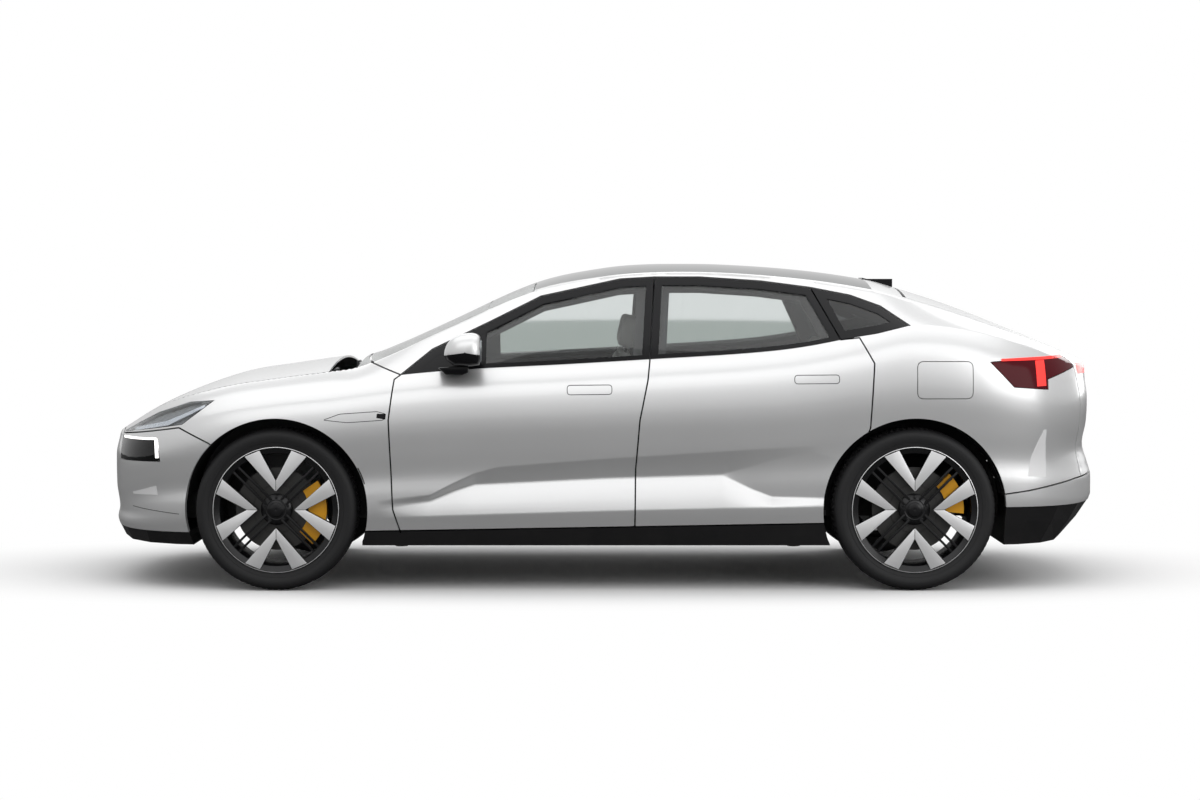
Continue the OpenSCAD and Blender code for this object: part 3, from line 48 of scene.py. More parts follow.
# the body's rails, the same as the solids follow: shares of half the length and of the height
body = {
    "halfLength": 2.420, "halfWidth": 1.004, "height": 1.540, "sill": .212, "endShare": .998, "endPower": 12,
    "frontAxle": -1.540, "rearAxle": 1.460, "hub": .382, "arch": .431, "gap": .007, "glassBow": .014,
    "scoopDepth": .042, "lipOut": .006,
    "shoulder": [[-1, .448], [-.95, .471], [-.868, .529], [-.744, .581], [-.637, .607], [-.537, .623],
                 [-.395, .653], [-.26, .671], [-.085, .685], [.089, .701], [.274, .719], [.381, .737],
                 [.494, .771], [.594, .805], [.702, .795], [.826, .744], [.932, .688], [1, .662]],
    "topEdge": [[-1, .458], [-.95, .497], [-.868, .564], [-.744, .620], [-.637, .646], [-.537, .666],
                [-.483, .679], [-.413, .721], [-.321, .789], [-.139, .912], [0, .955], [.107, .968],
                [.244, .966], [.41, .943], [.545, .909], [.5975, .886], [.702, .838], [.826, .773],
                [.932, .714], [1, .682]],
    "centre": [[-1, .462], [-.95, .503], [-.868, .578], [-.744, .649], [-.637, .677], [-.537, .699],
               [-.483, .706], [-.413, .747], [-.321, .812], [-.139, .940], [0, .987], [.107, 1], [.244, .998],
               [.41, .979], [.545, .948], [.5975, .925], [.702, .873], [.826, .797], [.932, .7305],
               [1, .688]],
    "topWidth": [[-1, .80], [-.744, .80], [-.537, .785], [-.483, .767], [-.321, .727], [-.139, .667],
                 [0, .637], [.107, .6275], [.244, .6275], [.41, .6375], [.545, .657], [.702, .70],
                 [.826, .73], [1, .74]],
    "side": [[0, .93], [.12, .955], [.2, .972], [.3, .976], [.42, .972], [.55, .988], [.68, 1], [.8, .996],
             [.9, .975], [.96, .945], [1, .915]],
    "noseBack": [[.13, .02], [.19, .002], [.23, .006], [.3, 0], [.4, 0], [.46, .006], [.7, .006]],
    "tailBack": [[.13, .075], [.22, .02], [.27, 0], [.33, 0], [.37, .008], [.43, .02], [.5, .012],
                 [.58, .010], [.64, .014], [.7, .012]],
    "crest": [[-1, .31], [-.56, .31], [-.44, .275], [-.336, .293], [-.29, .330], [-.25, .359], [-.205, .379],
              [0, .4045], [.232, .427], [.325, .436], [.42, .444], [1, .44]],
    "fold": [[-1, .285], [-.56, .285], [-.44, .262], [-.336, .2785], [-.29, .308], [-.25, .328],
             [-.205, .331], [0, .347], [.232, .358], [.285, .380], [.325, .400], [.40, .427], [.5, .38],
             [1, .36]],
    "ledge": [[-1, .25], [-.56, .25], [-.44, .2505], [-.336, .2725], [-.29, .302], [-.25, .322],
              [-.205, .325], [0, .341], [.232, .352], [.285, .312], [.325, .287], [.42, .285], [1, .29]],
    "lip": [[-1, .20], [-.56, .21], [-.44, .224], [-.2, .236], [0, .2455], [.232, .2545], [.42, .26],
            [1, .26]],
    "scoopFade": [[-1, 0], [-.44, 0], [-.336, .5], [-.25, 1], [.24, 1], [.325, .62], [.42, .35], [.52, 0],
                  [1, 0]],
    "foldFade": [[-1, 1], [.24, 1], [.325, .5], [.42, 0], [1, 0]],
    "sillLine": [[-.6, .178], [.5, .2085]],
}
halfLen, halfWide, tall, sill = body["halfLength"], body["halfWidth"], body["height"], body["sill"]
axles = (body["frontAxle"], body["rearAxle"])


def railCurve(rows):
    at, value = np.array(rows, float).T
    low, high = np.maximum(np.arange(len(at)) - 1, 0), np.minimum(np.arange(len(at)) + 1, len(at) - 1)
    slope = (value[high] - value[low]) / (at[high] - at[low])

    def curve(x):
        x = np.asarray(x, float)
        i = np.clip(np.searchsorted(at, x, side="right") - 1, 0, len(at) - 2)
        span = at[i + 1] - at[i]
        u = np.clip((x - at[i]) / span, 0, 1)
        return ((2 * u ** 3 - 3 * u ** 2 + 1) * value[i] + (u ** 3 - 2 * u ** 2 + u) * span * slope[i]
                + (3 * u ** 2 - 2 * u ** 3) * value[i + 1] + (u ** 3 - u ** 2) * span * slope[i + 1])
    return curve


rails = {name: railCurve(body[name]) for name in
         ("shoulder", "topEdge", "centre", "topWidth", "side", "noseBack", "tailBack")}


def lookUp(x, rows):
    at, value = np.array(rows, float).T
    return np.interp(x, at, value)


def endRound(s):
    return np.sqrt(np.maximum(1 - np.abs(s) ** body["endPower"], 0))


def shoulderZ(s):
    return tall * rails["shoulder"](s)


def topEdgeZ(s):
    return tall * rails["topEdge"](s)


def topEdgeY(s):
    return halfWide * rails["topWidth"](s) * endRound(s)


# shares of the height from sill to shoulder where the scoop's lines run
def scoopRows(s):
    return [(tall * lookUp(s, body[line]) - sill) / (shoulderZ(s) - sill)
            for line in ("lip", "ledge", "fold", "crest")]


def scoopIn(s, h):
    lip, ledge, fold, crest = scoopRows(s)
    fade = lookUp(s, body["scoopFade"])
    deep, out = body["scoopDepth"] * fade, body["lipOut"] * fade
    foldIn = deep * lookUp(s, body["foldFade"])
    return np.select([h <= lip, h <= ledge, h <= fold, h <= crest],
                     [-out * h / lip, -out + (h - lip) / (ledge - lip) * (deep + out),
                      deep + (h - ledge) / (fold - ledge) * (foldIn - deep),
                      foldIn * (crest - h) / (crest - fold)], 0)


def sideY(s, h):
    return (halfWide * rails["side"](h) - scoopIn(s, h)) * endRound(s)


# how far nose and tail are set back at a station
def setBack(s, z):
    back = np.where(s < 0, rails["noseBack"](z / tall), rails["tailBack"](z / tall))
    return np.sign(s) * halfLen * np.abs(s) ** 6 * np.maximum(0, back)


def stationX(s, z):
    return np.clip(s * halfLen / body["endShare"] - setBack(s, z), -halfLen, halfLen)


def stationS(x, z, s):
    return np.clip((x + setBack(s, z)) * body["endShare"] / halfLen, -1, 1)


# a point of the left-hand skin: s runs nose to tail,
# w from sill 0 over shoulder 1 and roof edge 2 to the middle 3
def skinPoint(s, w):
    s, w = np.broadcast_arrays(np.asarray(s, float), np.asarray(w, float))
    h, t, c = np.clip(w, 0, 1), np.clip(w - 1, 0, 1), np.clip(w - 2, 0, 1)
    zs, zt = shoulderZ(s), topEdgeZ(s)
    zc = tall * rails["centre"](s)
    ys, yt = sideY(s, np.ones_like(s)), topEdgeY(s)
    z = np.where(w <= 1, sill + h * (zs - sill),
                 np.where(w <= 2, zs + t * (zt - zs), zt + (zc - zt) * (1 - (1 - c) ** 2)))
    z = np.minimum(z, tall)
    bow = 4 * t * (1 - t) * body["glassBow"] * np.minimum(1, endRound(s) * 1.5)
    y = np.where(w <= 1, sideY(s, h), np.where(w <= 2, ys + t * (yt - ys) + bow, yt * (1 - c)))
    return np.stack([stationX(s, z), -y, z], -1)


# flat sheet of the skin in metres: distance round a waterline, and up the section
ends = np.linspace(0, 1, 160) ** 2 * .1
knotS = np.concatenate([-1 + ends, np.linspace(-.9, .9, 900)[1:-1], (1 - ends)[::-1]])
waterline = skinPoint(knotS, np.full_like(knotS, .62))
knotP = np.concatenate([[0], np.cumsum(np.linalg.norm(np.diff(waterline[:, :2], axis=0), axis=1))])
knotQ = np.array([0, .85, 1.18, 1.80])


def toSheet(s, w):
    return np.stack([np.interp(s, knotS, knotP), np.interp(w, [0, 1, 2, 3], knotQ)], -1)


def fromSheet(p, q):
    return np.interp(p, knotP, knotS), np.interp(q, knotQ, [0, 1, 2, 3])


def skinFrame(s, w, reach=.006):
    point = skinPoint(s, w)
    p, q = toSheet(s, w).T

    def at(dp, dq):
        # past the middle line the other half goes on
        qq = q + dq
        over = qq > knotQ[-1]
        ss, ww = fromSheet(np.clip(p + dp, 0, knotP[-1]),
                           np.where(over, 2 * knotQ[-1] - qq, np.maximum(qq, 0)))
        got = skinPoint(ss, ww)
        got[over, 1] *= -1
        return got
    along, up = at(reach, 0) - at(-reach, 0), at(0, reach) - at(0, -reach)
    normal = np.cross(along, up)
    middle = np.abs(point[:, 1]) < 1e-4
    normal[middle, 1] = 0
    end = np.linalg.norm(normal, axis=1) < 1e-9
    normal[end] = np.stack([np.sign(point[end, 0]), 0 * point[end, 0], 0 * point[end, 0]], -1)
    normal /= np.maximum(np.linalg.norm(normal, axis=1), 1e-9)[:, None]
    # about the middle of nose and tail the normal follows the section
    flat = (np.abs(s) > .9975) & (w < 2)
    lean, way = up[flat] / np.linalg.norm(up[flat], axis=1)[:, None], np.sign(s[flat])
    normal[flat] = np.stack([way * lean[:, 2], point[flat, 1] * .45, -way * lean[:, 0]], -1)
    normal[flat] /= np.linalg.norm(normal[flat], axis=1)[:, None]
    return point, normal


# places in side view and in plan, on the skin
def fromSide(points):
    x, z = np.asarray(points, float).T
    s = np.clip(x / halfLen, -1, 1)
    for _ in range(12):
        s = stationS(x, z, s)
    zs, zt, zc = shoulderZ(s), topEdgeZ(s), tall * rails["centre"](s)
    c = 1 - np.sqrt(np.clip(1 - (z - zt) / np.maximum(zc - zt, 1e-6), 0, 1))
    w = np.where(z <= zs, np.clip((z - sill) / (zs - sill), 0, 1),
                 np.where(z <= zt, 1 + (z - zs) / np.maximum(zt - zs, 1e-6), 2 + np.clip(c, 0, 1)))
    return s, w


def fromPlan(points):
    x, y = np.asarray(points, float).T
    y = np.abs(y)
    s = np.clip(x / halfLen * body["endShare"], -1, 1)
    for _ in range(8):
        s = stationS(x, topEdgeZ(s), s)
    ys, yt = sideY(s, np.ones_like(s)), topEdgeY(s)
    w = np.where(y <= yt, 3 - y / np.maximum(yt, 1e-6),
                 np.clip(2 - (y - yt) / np.maximum(ys - yt, 1e-6), 1, 2))
    return s, w


def sideView(shares):
    return np.array([[x * halfLen, z * tall] for x, z in shares])


def dense(points, step=.018, closed=False):
    points = np.asarray(points, float)
    if closed:
        points = np.vstack([points, points[:1]])
    rows = [points[:1]]
    for a, b in zip(points[:-1], points[1:]):
        n = max(1, int(np.ceil(np.linalg.norm(b - a) / step)))
        rows.append(a + (b - a) * (np.arange(1, n + 1) / n)[:, None])
    return np.vstack(rows)


# outline moved sideways by some amount, mitred at its corners
def beside(points, move, closed=False):
    points = np.asarray(points, float)
    out = []
    for i in range(len(points)):
        before = points[i] - points[i - 1] if closed or i else points[1] - points[0]
        after = points[(i + 1) % len(points)] - points[i] if closed or i < len(points) - 1 else before
        a, b = before / np.linalg.norm(before), after / np.linalg.norm(after)
        na, nb = np.array([-a[1], a[0]]), np.array([-b[1], b[0]])
        mid = na + nb
        mid /= max(np.linalg.norm(mid), 1e-6)
        out.append(points[i] + mid * move / max(mid @ na, .35))
    return np.array(out)


def inside(points, outline):
    x, y = points[:, 0], points[:, 1]
    hit = np.zeros(len(points), bool)
    for (x0, y0), (x1, y1) in zip(outline, np.roll(outline, -1, axis=0)):
        crosses = (y0 > y) != (y1 > y)
        with np.errstate(divide="ignore", invalid="ignore"):
            hit ^= crosses & (x < (x1 - x0) * (y - y0) / (y1 - y0) + x0)
    return hit


def lineDistance(points, line, closed=False):
    line = np.asarray(line, float)
    if closed:
        line = np.vstack([line, line[:1]])
    best = np.full(len(points), 9e9)
    for a, b in zip(line[:-1], line[1:]):
        d = b - a
        u = np.clip(((points - a) @ d) / max(d @ d, 1e-12), 0, 1)
        best = np.minimum(best, np.linalg.norm(points - (a + u[:, None] * d), axis=1))
    return best


# shut lines in side view, as shares of half the length and of the height
windowTop = [[-.395, .659], [-.336, .735], [-.2215, .8215], [-.124, .898], [.032, .951], [.1, .957],
             [.19, .957], [.309, .945], [.407, .925], [.4855, .901], [.543, .8675], [.594, .809]]
frontEdge = [[-.395, .659], [-.407, .645], [-.4165, .523], [-.4095, .25], [-.395, .178]]
splitEdge = [[.1, .957], [.089, .7006], [.085, .6435], [.0695, .523], [.0615, .372], [.06, .2]]
backEdge = [[.407, .925], [.413, .91], [.46, .766], [.496, .772], [.5225, .695], [.515, .499], [.49, .4]]
noseSeam = [[-.962, .52], [-.962, .468], [-.825, .498], [-.765, .452], [-.755, .44]]
tailSeam = [[.72, .284], [.826, .305], [.93, .335], [1.05, .354]]
pillarSeam = [[-.395, .659], [-.483, .71]]
headlampLine = [[-.957, .475], [-.819, .508], [-.759, .580], [-.807, .574], [-.873, .540]]
lowerLampLine = [[-.963, .390], [-.864, .394], [-.870, .464], [-.963, .461]]
tailLampLine = [[.747, .699], [.794, .622], [.864, .614], [.864, .645], [.97, .70], [1.05, .712],
                [1.05, .735], [.97, .725]]
flapLine = [[.605, .588], [.7125, .588], [.7125, .701], [.605, .701]]
tailgateSeam = [[.600, .60], [.66, .625], [.74, .655], [.85, .687], [1.05, .687]]
frontBumperLine = [[-1.1, .8], [-.962, .8], [-.962, .468], [-.825, .498], [-.765, .452], [-.74, .43],
                   [-.74, .17], [-1.1, .17]]
belowTailSeam = [[.5, .284], [.72, .284], [.826, .305], [.93, .335], [1.1, .362], [1.1, 0], [.5, 0]]
fenderLine = [[-.962, .468], [-.825, .498], [-.765, .452], [-.745, .437], [-.6, .3], [-.58, .1786],
              [-.3961, .1837], [-.4095, .25], [-.4165, .523], [-.407, .645], [-.395, .659], [-.483, .71],
              [-.483, .9], [-.962, .9]]
splitterTop, diffuserTop = .273, .394
# where the light bar lies: heights, from how far back, and half its width
lightBar, lightBarFrom, lightBarHalf = (1.0090, 1.0620), 2.15, .655
windowBand, beltRise, beltBand, roofRail, hem, sailX = .038, .008, .022, .050, .024, -.556
archRims, creaseHalf, hemLand, headerLap, gateFrom = (0, .008, .021), .006, .018, .014, .3
bonnetEnds, screenEnds, roofEnds = [-.962, -.537], [-.483, -.139], [-.136, .532]


def sillShare(share):
    return float(lookUp(share, body["sillLine"]))


frontDoor = sideView(windowTop[:6] + splitEdge[1:5]
                     + [[at, sillShare(at)] for at in (.06, -.3961)] + frontEdge[3:0:-1])
rearDoor = sideView(windowTop[5:9] + backEdge[1:6]
                    + [[at, sillShare(at)] for at in (.45, .06)] + splitEdge[4:0:-1])
quarter = sideView(windowTop[8:] + [[.53, .784], [.46, .766], [.413, .91]])
tailgatePlan = np.array([[x * halfLen, y * halfWide] for x, y in tailgateSeam])
tailgateArea = np.vstack([tailgatePlan, tailgatePlan[::-1] * [1, -1]])
beltS = np.linspace(-.45, .62, 60)
beltLine = np.stack([beltS * halfLen, shoulderZ(beltS) + beltRise], -1)

gapLines = [sideView(line)
            for line in (windowTop, frontEdge, splitEdge, backEdge, noseSeam, tailSeam, pillarSeam)]
gapLines.append(sideView([[at, sillShare(at)] for at in (-.47, .47)]))
lampLines = [sideView(line) for line in (headlampLine, lowerLampLine, tailLampLine)]


def roundCorners(points, radius, steps=6):
    out = []
    for i in range(len(points)):
        here, before, after = points[i], points[i - 1], points[(i + 1) % len(points)]
        a = here + (before - here) / np.linalg.norm(before - here) * radius
        b = here + (after - here) / np.linalg.norm(after - here) * radius
        t = np.linspace(0, 1, steps)[:, None]
        out.append((1 - t) ** 2 * a + 2 * t * (1 - t) * here + t ** 2 * b)
    return np.vstack(out)


flapOutline = roundCorners(sideView(flapLine), .030)


def arcPoints(axle, extra=0):
    a = np.radians(np.linspace(-40, 220, 90))
    return np.stack([axle + (body["arch"] + extra) * np.cos(a),
                     body["hub"] + (body["arch"] + extra) * np.sin(a)], -1)


def alongRail(ends, inset=0, n=120):
    s = np.linspace(ends[0], ends[1], n)
    yt = topEdgeY(s)
    return s, 3 - np.clip((yt - inset) / np.maximum(yt, 1e-6), 0, 1)


# every cut through the sheet, as lines of s and w
def skinCuts():
    half, cuts = body["gap"] / 2, []

    # a line that runs past nose or tail ends there
    def addCut(s, w, closed=False):
        keep = np.ones(len(s), bool)
        if not closed:
            keep[np.flatnonzero(np.abs(s) >= .9999)[1:]] = False
        cuts.append((s[keep], w[keep]))

    def sideCut(points, closed=False):
        addCut(*fromSide(dense(points, closed=closed)), closed)

    for line in gapLines:
        for move in (-half, half):
            sideCut(beside(line, move))
    for line in lampLines + [flapOutline]:
        for move in (-half / 2, half / 2):
            sideCut(beside(line, move, True), True)
    for axle in axles:
        for extra in archRims:
            sideCut(arcPoints(axle, extra))
    sideCut(beltLine)
    sideCut(beltLine + [0, beltBand])
    # the scoop's creases, each between two close lines
    creaseS = np.linspace(-.435, .51, 150)
    for row in scoopRows(creaseS):
        for move in (-creaseHalf, 0, creaseHalf):
            cuts.append((creaseS, row + move / (shoulderZ(creaseS) - sill)))
    for outline in (frontDoor, rearDoor):
        for move in (hem, hem + hemLand):
            sideCut(beside(outline, move, True), True)
    sideCut(quarter, True)
    sideCut(np.array([[sailX, .98], [sailX, 1.36]]))
    for outline in (frontDoor, rearDoor, quarter):
        for move in (-windowBand, windowBand):
            line = beside(outline, move, True)
            line = line[inside(line, outline)]
            if len(line) > 4:
                sideCut(line, True)
    # level seams round the nose and the tail
    for z, ends in ((splitterTop, (-1, -.74)), (diffuserTop, (.72, 1))):
        s = np.linspace(ends[0], ends[1], 160)
        cuts.append((s, np.clip((z - sill) / (shoulderZ(s) - sill), 0, 1)))
    # lids and fixed glass, in plan
    across = np.linspace(2, 3, 40)
    for move in (-half, half):
        s, w = alongRail((bonnetEnds[0], screenEnds[0]), move)
        cuts.append((s, np.clip(w, 1.4, 3)))
        for end in bonnetEnds:
            cuts.append((np.full(40, end + move / halfLen), across))
    for ends, inset in ((screenEnds, 0), (screenEnds, half), (roofEnds, roofRail),
                        (roofEnds, roofRail - half)):
        cuts.append(alongRail(ends, inset))
    for end in (*screenEnds, *roofEnds):
        cuts.append((np.full(40, end), across))
    for move in (-half, half):
        line = beside(tailgatePlan, move)
        addCut(*fromPlan(dense(line)))
        # the same seam down the tail's upright sides
        area, spots = np.vstack([line, line[::-1] * [1, -1]]), []
        for level in np.linspace(gateFrom, 1, 36):
            s = np.linspace(.80, .9999, 800)
            flags = inside(np.abs(skinPoint(s, np.full_like(s, level))[:, :2]), area)
            hit = np.flatnonzero(flags[1:] != flags[:-1])
            if len(hit):
                spots.append((s[hit[0] + 1], level))
        if spots:
            cuts.append(tuple(np.array(spots).T))
    for z in lightBar:
        s = np.linspace(.86, 1, 160)
        zs, zt = shoulderZ(s), topEdgeZ(s)
        cuts.append((s, np.where(z <= zs, (z - sill) / (zs - sill), 1 + (z - zs) / (zt - zs))))
    gateX, gateY = tailgatePlan[0]
    for move in (-headerLap, half):
        cuts.append(fromPlan(dense(np.array([[gateX + move, 0], [gateX + move, gateY]]))))
    return cuts


# triangles of the sheet between the cuts
def cutSheet(cuts, step=.026, clear=.007):
    points, edges = [], []
    for s, w in cuts:
        flat = toSheet(s, w)
        keep = np.concatenate([[True], np.linalg.norm(np.diff(flat, axis=0), axis=1) > 1e-5])
        flat = flat[keep]
        edges += [(len(points) + i, len(points) + i + 1) for i in range(len(flat) - 1)]
        points += flat.tolist()
    p1, q1 = knotP[-1], knotQ[-1]
    rim = dense(np.array([[0, 0], [p1, 0], [p1, q1], [0, q1]]), step, True)[:-1]
    edges += [(len(points) + i, len(points) + (i + 1) % len(rim)) for i in range(len(rim))]
    points += rim.tolist()
    columns, rows = int(p1 / step), int(q1 / step)
    grid = np.meshgrid(np.linspace(0, p1, columns)[1:-1], np.linspace(0, q1, rows)[1:-1])
    grid = np.stack(grid, -1).reshape(-1, 2)
    grid[:, 0] += np.where((np.arange(len(grid)) // (columns - 2)) % 2, step / 4, -step / 4)
    # grid points too near a cut are left out
    cell = {}
    for x, y in points:
        cell.setdefault((int(x / clear), int(y / clear)), []).append((x, y))
    near = np.array([any((x - a) ** 2 + (y - b) ** 2 < clear ** 2
                         for i in (-1, 0, 1) for j in (-1, 0, 1)
                         for a, b in cell.get((int(x / clear) + i, int(y / clear) + j), ()))
                     for x, y in grid])
    points += grid[~near].tolist()
    flat, _, faces, *_ = delaunay_2d_cdt([Vector(p) for p in points], edges, [], 0, 1e-6)
    flat = np.array([tuple(v) for v in flat])
    faces = np.array([f for f in faces if len(f) == 3])
    s, w = fromSheet(flat[:, 0], flat[:, 1])
    return s, w, faces


# which panel a triangle of the sheet belongs to
def nameFaces(s, w, faces):
    cs, cw = s[faces].mean(1), w[faces].mean(1)
    mid = skinPoint(cs, cw)
    side, plan = mid[:, [0, 2]], np.abs(mid[:, :2] * [0, 1]) + mid[:, :2] * [1, 0]
    x, z, ya = mid[:, 0], mid[:, 2], np.abs(mid[:, 1])
    half = body["gap"] / 2 + 1e-5
    name = np.full(len(faces), "frame", dtype=object)
    seam = np.zeros(len(faces), bool)
    for line in gapLines:
        seam |= lineDistance(side, line) < half
    inFender = inside(side, sideView(fenderLine))
    inFront, inRear = inside(side, frontDoor), inside(side, rearDoor)
    glassRow = cw < 2.6
    name[inFender & (cs < screenEnds[0] + .1)] = "fender"
    belt = np.interp(x, beltLine[:, 0], beltLine[:, 1])
    above, clearBelt = z > belt, z > belt + beltBand
    for door, inDoor, outline in (("front", inFront, frontDoor), ("rear", inRear, rearDoor)):
        inDoor = inDoor & glassRow
        far = lineDistance(side, outline, True) > windowBand
        name[inDoor] = door + "Skin"
        name[inDoor & above] = door + "Sash"
        name[inDoor & clearBelt & far] = door + "Glass"
        name[inDoor & clearBelt & far & (x < sailX)] = "frontSail"
    inQuarter = inside(side, quarter) & glassRow
    name[inQuarter] = "quarterSash"
    name[inQuarter & clearBelt & (lineDistance(side, quarter, True) > windowBand)] = "quarterGlass"
    low = inside(side, sideView(belowTailSeam))
    name[low & (x > 0)] = "rearBumper"
    name[inside(side, sideView(frontBumperLine))] = "frontBumper"
    onTop = cw > 2
    lid = onTop & (cs > bonnetEnds[0]) & (cs < bonnetEnds[1])
    name[lid] = "bonnet"
    name[onTop & (cs < bonnetEnds[0])] = "frontBumper"
    name[onTop & (cs > bonnetEnds[1]) & (cs < screenEnds[0])] = ""
    name[onTop & (cs > screenEnds[0]) & (cs < screenEnds[1])] = "screen"
    alongRoof = (cs > roofEnds[0]) & (cs < roofEnds[1])
    name[alongRoof & (ya < topEdgeY(cs) - roofRail)] = "roof"
    gate = inside(plan, tailgateArea) & (cw > gateFrom) & (z > diffuserTop) & ~low
    name[gate] = "gate"
    name[gate & (z > lightBar[0]) & (z < lightBar[1]) & (x > lightBarFrom) & (ya < lightBarHalf)] = "lightBar"
    for line, lamp in zip(lampLines, ("headlamp", "lowerLamp", "tailLamp")):
        name[inside(side, line) & ~lid & ~gate & (cw < 2.5)] = lamp
        seam |= (lineDistance(side, line, True) < half / 2) & ~lid & ~gate
    name[inside(side, flapOutline) & (cw < 1.2)] = "flap"
    name[(lineDistance(side, flapOutline, True) < half / 2) & (cw < 1.2)] = "flapSeam"
    # what the black cladding covers, the open arches and the seams go
    name[(x < -.8 * halfLen) & (z < splitterTop) | (x > .76 * halfLen) & (z < diffuserTop)] = ""
    name[(z < tall * lookUp(x / halfLen, body["sillLine"])) & (np.abs(x) < .70 * halfLen)] = ""
    for axle in axles:
        name[(np.hypot(x - axle, z - body["hub"]) < body["arch"]) & (cw < 1)] = ""
    rail = np.abs(ya - topEdgeY(cs))
    seam |= (cs > bonnetEnds[0] - .002) & (cs < screenEnds[0]) & (rail < half)
    for end in bonnetEnds:
        seam |= (np.abs(cs - end) * halfLen < half) & (cw > 2)
    seam |= (cs > screenEnds[0]) & (cs < screenEnds[1]) & (rail < half) & onTop
    seam |= (np.abs(ya - topEdgeY(cs) + roofRail - half / 2) < half / 2) & alongRoof & onTop
    seam |= (cs > screenEnds[1]) & (cs < roofEnds[0]) & onTop
    seam |= (lineDistance(plan, tailgatePlan) < half) & (cw > gateFrom) & ~low
    gateX, gateY = tailgatePlan[0]
    seam |= (x > gateX - headerLap) & (x < gateX + half) & (ya < gateY) & onTop
    name[seam & (name != "flapSeam")] = ""
    return name


sheetS, sheetW, sheetFaces = cutSheet(skinCuts())
faceNames = nameFaces(sheetS, sheetW, sheetFaces)
skinAt, skinNormal = skinFrame(sheetS, sheetW)
print("skin cut into", sorted(set(faceNames)), len(sheetFaces), "triangles a side")


def makeMesh(name, verts, faces, mats, faceMats=None, loopNormals=None):
    mesh = bpy.data.meshes.new(name)
    mesh.from_pydata([tuple(v) for v in verts], [], [tuple(int(i) for i in f) for f in faces])
    for mat in mats:
        mesh.materials.append(mat)
    if faceMats is not None:
        mesh.polygons.foreach_set("material_index", np.asarray(faceMats, np.int32))
    mesh.polygons.foreach_set("use_smooth", np.ones(len(mesh.polygons), bool))
    if loopNormals is not None:
        mesh.normals_split_custom_set([tuple(n) for n in loopNormals])
    mesh.update()
    piece = bpy.data.objects.new(name, mesh)
    scene.collection.objects.link(piece)
    return piece


# closed panel made of named triangles, from one depth to another below the skin
def panel(name, wanted, mats, outer=0, inner=.009, sides=("left", "right"), rimMat=0, innerMat=1):
    chosen = sheetFaces[np.isin(faceNames, wanted)]
    used, flat = np.unique(chosen, return_inverse=True)
    tris = flat.reshape(-1, 3)
    point, normal = skinAt[used], skinNormal[used]
    depth = inner(sheetS[used], sheetW[used]) if callable(inner) else np.full(len(used), inner)
    verts, norms, drops, faces = [], [], [], []
    for side in sides:
        flip = np.array([1, 1 if side == "left" else -1, 1])
        base = sum(len(v) for v in verts)
        verts.append(point * flip)
        norms.append(normal * flip)
        drops.append(depth)
        faces.append((tris if side == "right" else tris[:, ::-1]) + base)
    verts, norms, drops, faces = np.vstack(verts), np.vstack(norms), np.concatenate(drops), np.vstack(faces)
    if len(sides) == 2:  # the halves join on the middle line
        key, index = {}, np.arange(len(verts))
        for i in np.flatnonzero(np.abs(verts[:, 1]) < 1e-5):
            spot = (round(verts[i, 0], 4), round(verts[i, 2], 4))
            index[i] = key.setdefault(spot, i)
        faces = index[faces]
        faces = faces[(faces[:, 0] != faces[:, 1]) & (faces[:, 1] != faces[:, 2])
                      & (faces[:, 0] != faces[:, 2])]
    a, b, c = (verts[faces[:, i]] for i in range(3))
    away = np.einsum("ij,ij->i", np.cross(b - a, c - a), norms[faces].sum(1))
    faces[away < 0] = faces[away < 0][:, ::-1]
    edges = [(f[i], f[(i + 1) % 3]) for f in faces for i in range(3)]
    count = {}
    for edge in edges:
        count[tuple(sorted(edge))] = count.get(tuple(sorted(edge)), 0) + 1
    border = [edge for edge in edges if count[tuple(sorted(edge))] == 1]
    n = len(verts)
    top, under = verts - norms * outer, verts - norms * drops[:, None]
    allFaces = [tuple(f) for f in faces] + [(f[0] + n, f[2] + n, f[1] + n) for f in faces]
    loops = [norms[i] for f in faces for i in f] + [-norms[i] for f in faces for i in (f[0], f[2], f[1])]
    faceMats = [0] * len(faces) + [innerMat] * len(faces)
    for i, j in border:
        allFaces.append((j, i, i + n, j + n))
        wall = np.cross(top[i] - top[j], under[j] - top[j])
        wall = wall / max(np.linalg.norm(wall), 1e-9)
        loops += [wall] * 4
        faceMats.append(rimMat)
    # points that the joined middle line leaves over go
    keep = np.unique(np.array([i for f in allFaces for i in f]))
    index = np.full(2 * n, -1)
    index[keep] = np.arange(len(keep))
    allFaces = [[index[i] for i in f] for f in allFaces]
    return makeMesh(name, np.vstack([top, under])[keep], allFaces, mats, faceMats, loops)


# shader groups that several finishes share
def socketKind(label):
    return "NodeSocketColor" if label.endswith("Color") else "NodeSocketFloat"


def newGroup(name, inputs, outputs):
    tree = bpy.data.node_groups.new(name, "ShaderNodeTree")
    for label, value in inputs.items():
        socket = tree.interface.new_socket(label, in_out="INPUT", socket_type=socketKind(label))
        socket.default_value = value
    for label in outputs:
        tree.interface.new_socket(label, in_out="OUTPUT", socket_type=socketKind(label))
    return tree, tree.nodes.new("NodeGroupInput").outputs, tree.nodes.new("NodeGroupOutput").inputs


def objectAxes(tree):
    place = tree.nodes.new("ShaderNodeTexCoord").outputs["Object"]
    apart = tree.nodes.new("ShaderNodeSeparateXYZ")
    tree.links.new(place, apart.inputs[0])
    return place, apart.outputs


def addMath(tree, kind, a, b=None, c=None):
    node = tree.nodes.new("ShaderNodeMath")
    node.operation = kind
    for socket, value in zip(node.inputs, (a, b, c)):
        if isinstance(value, (int, float)):
            socket.default_value = value
        elif value is not None:
            tree.links.new(value, socket)
    return node.outputs[0]


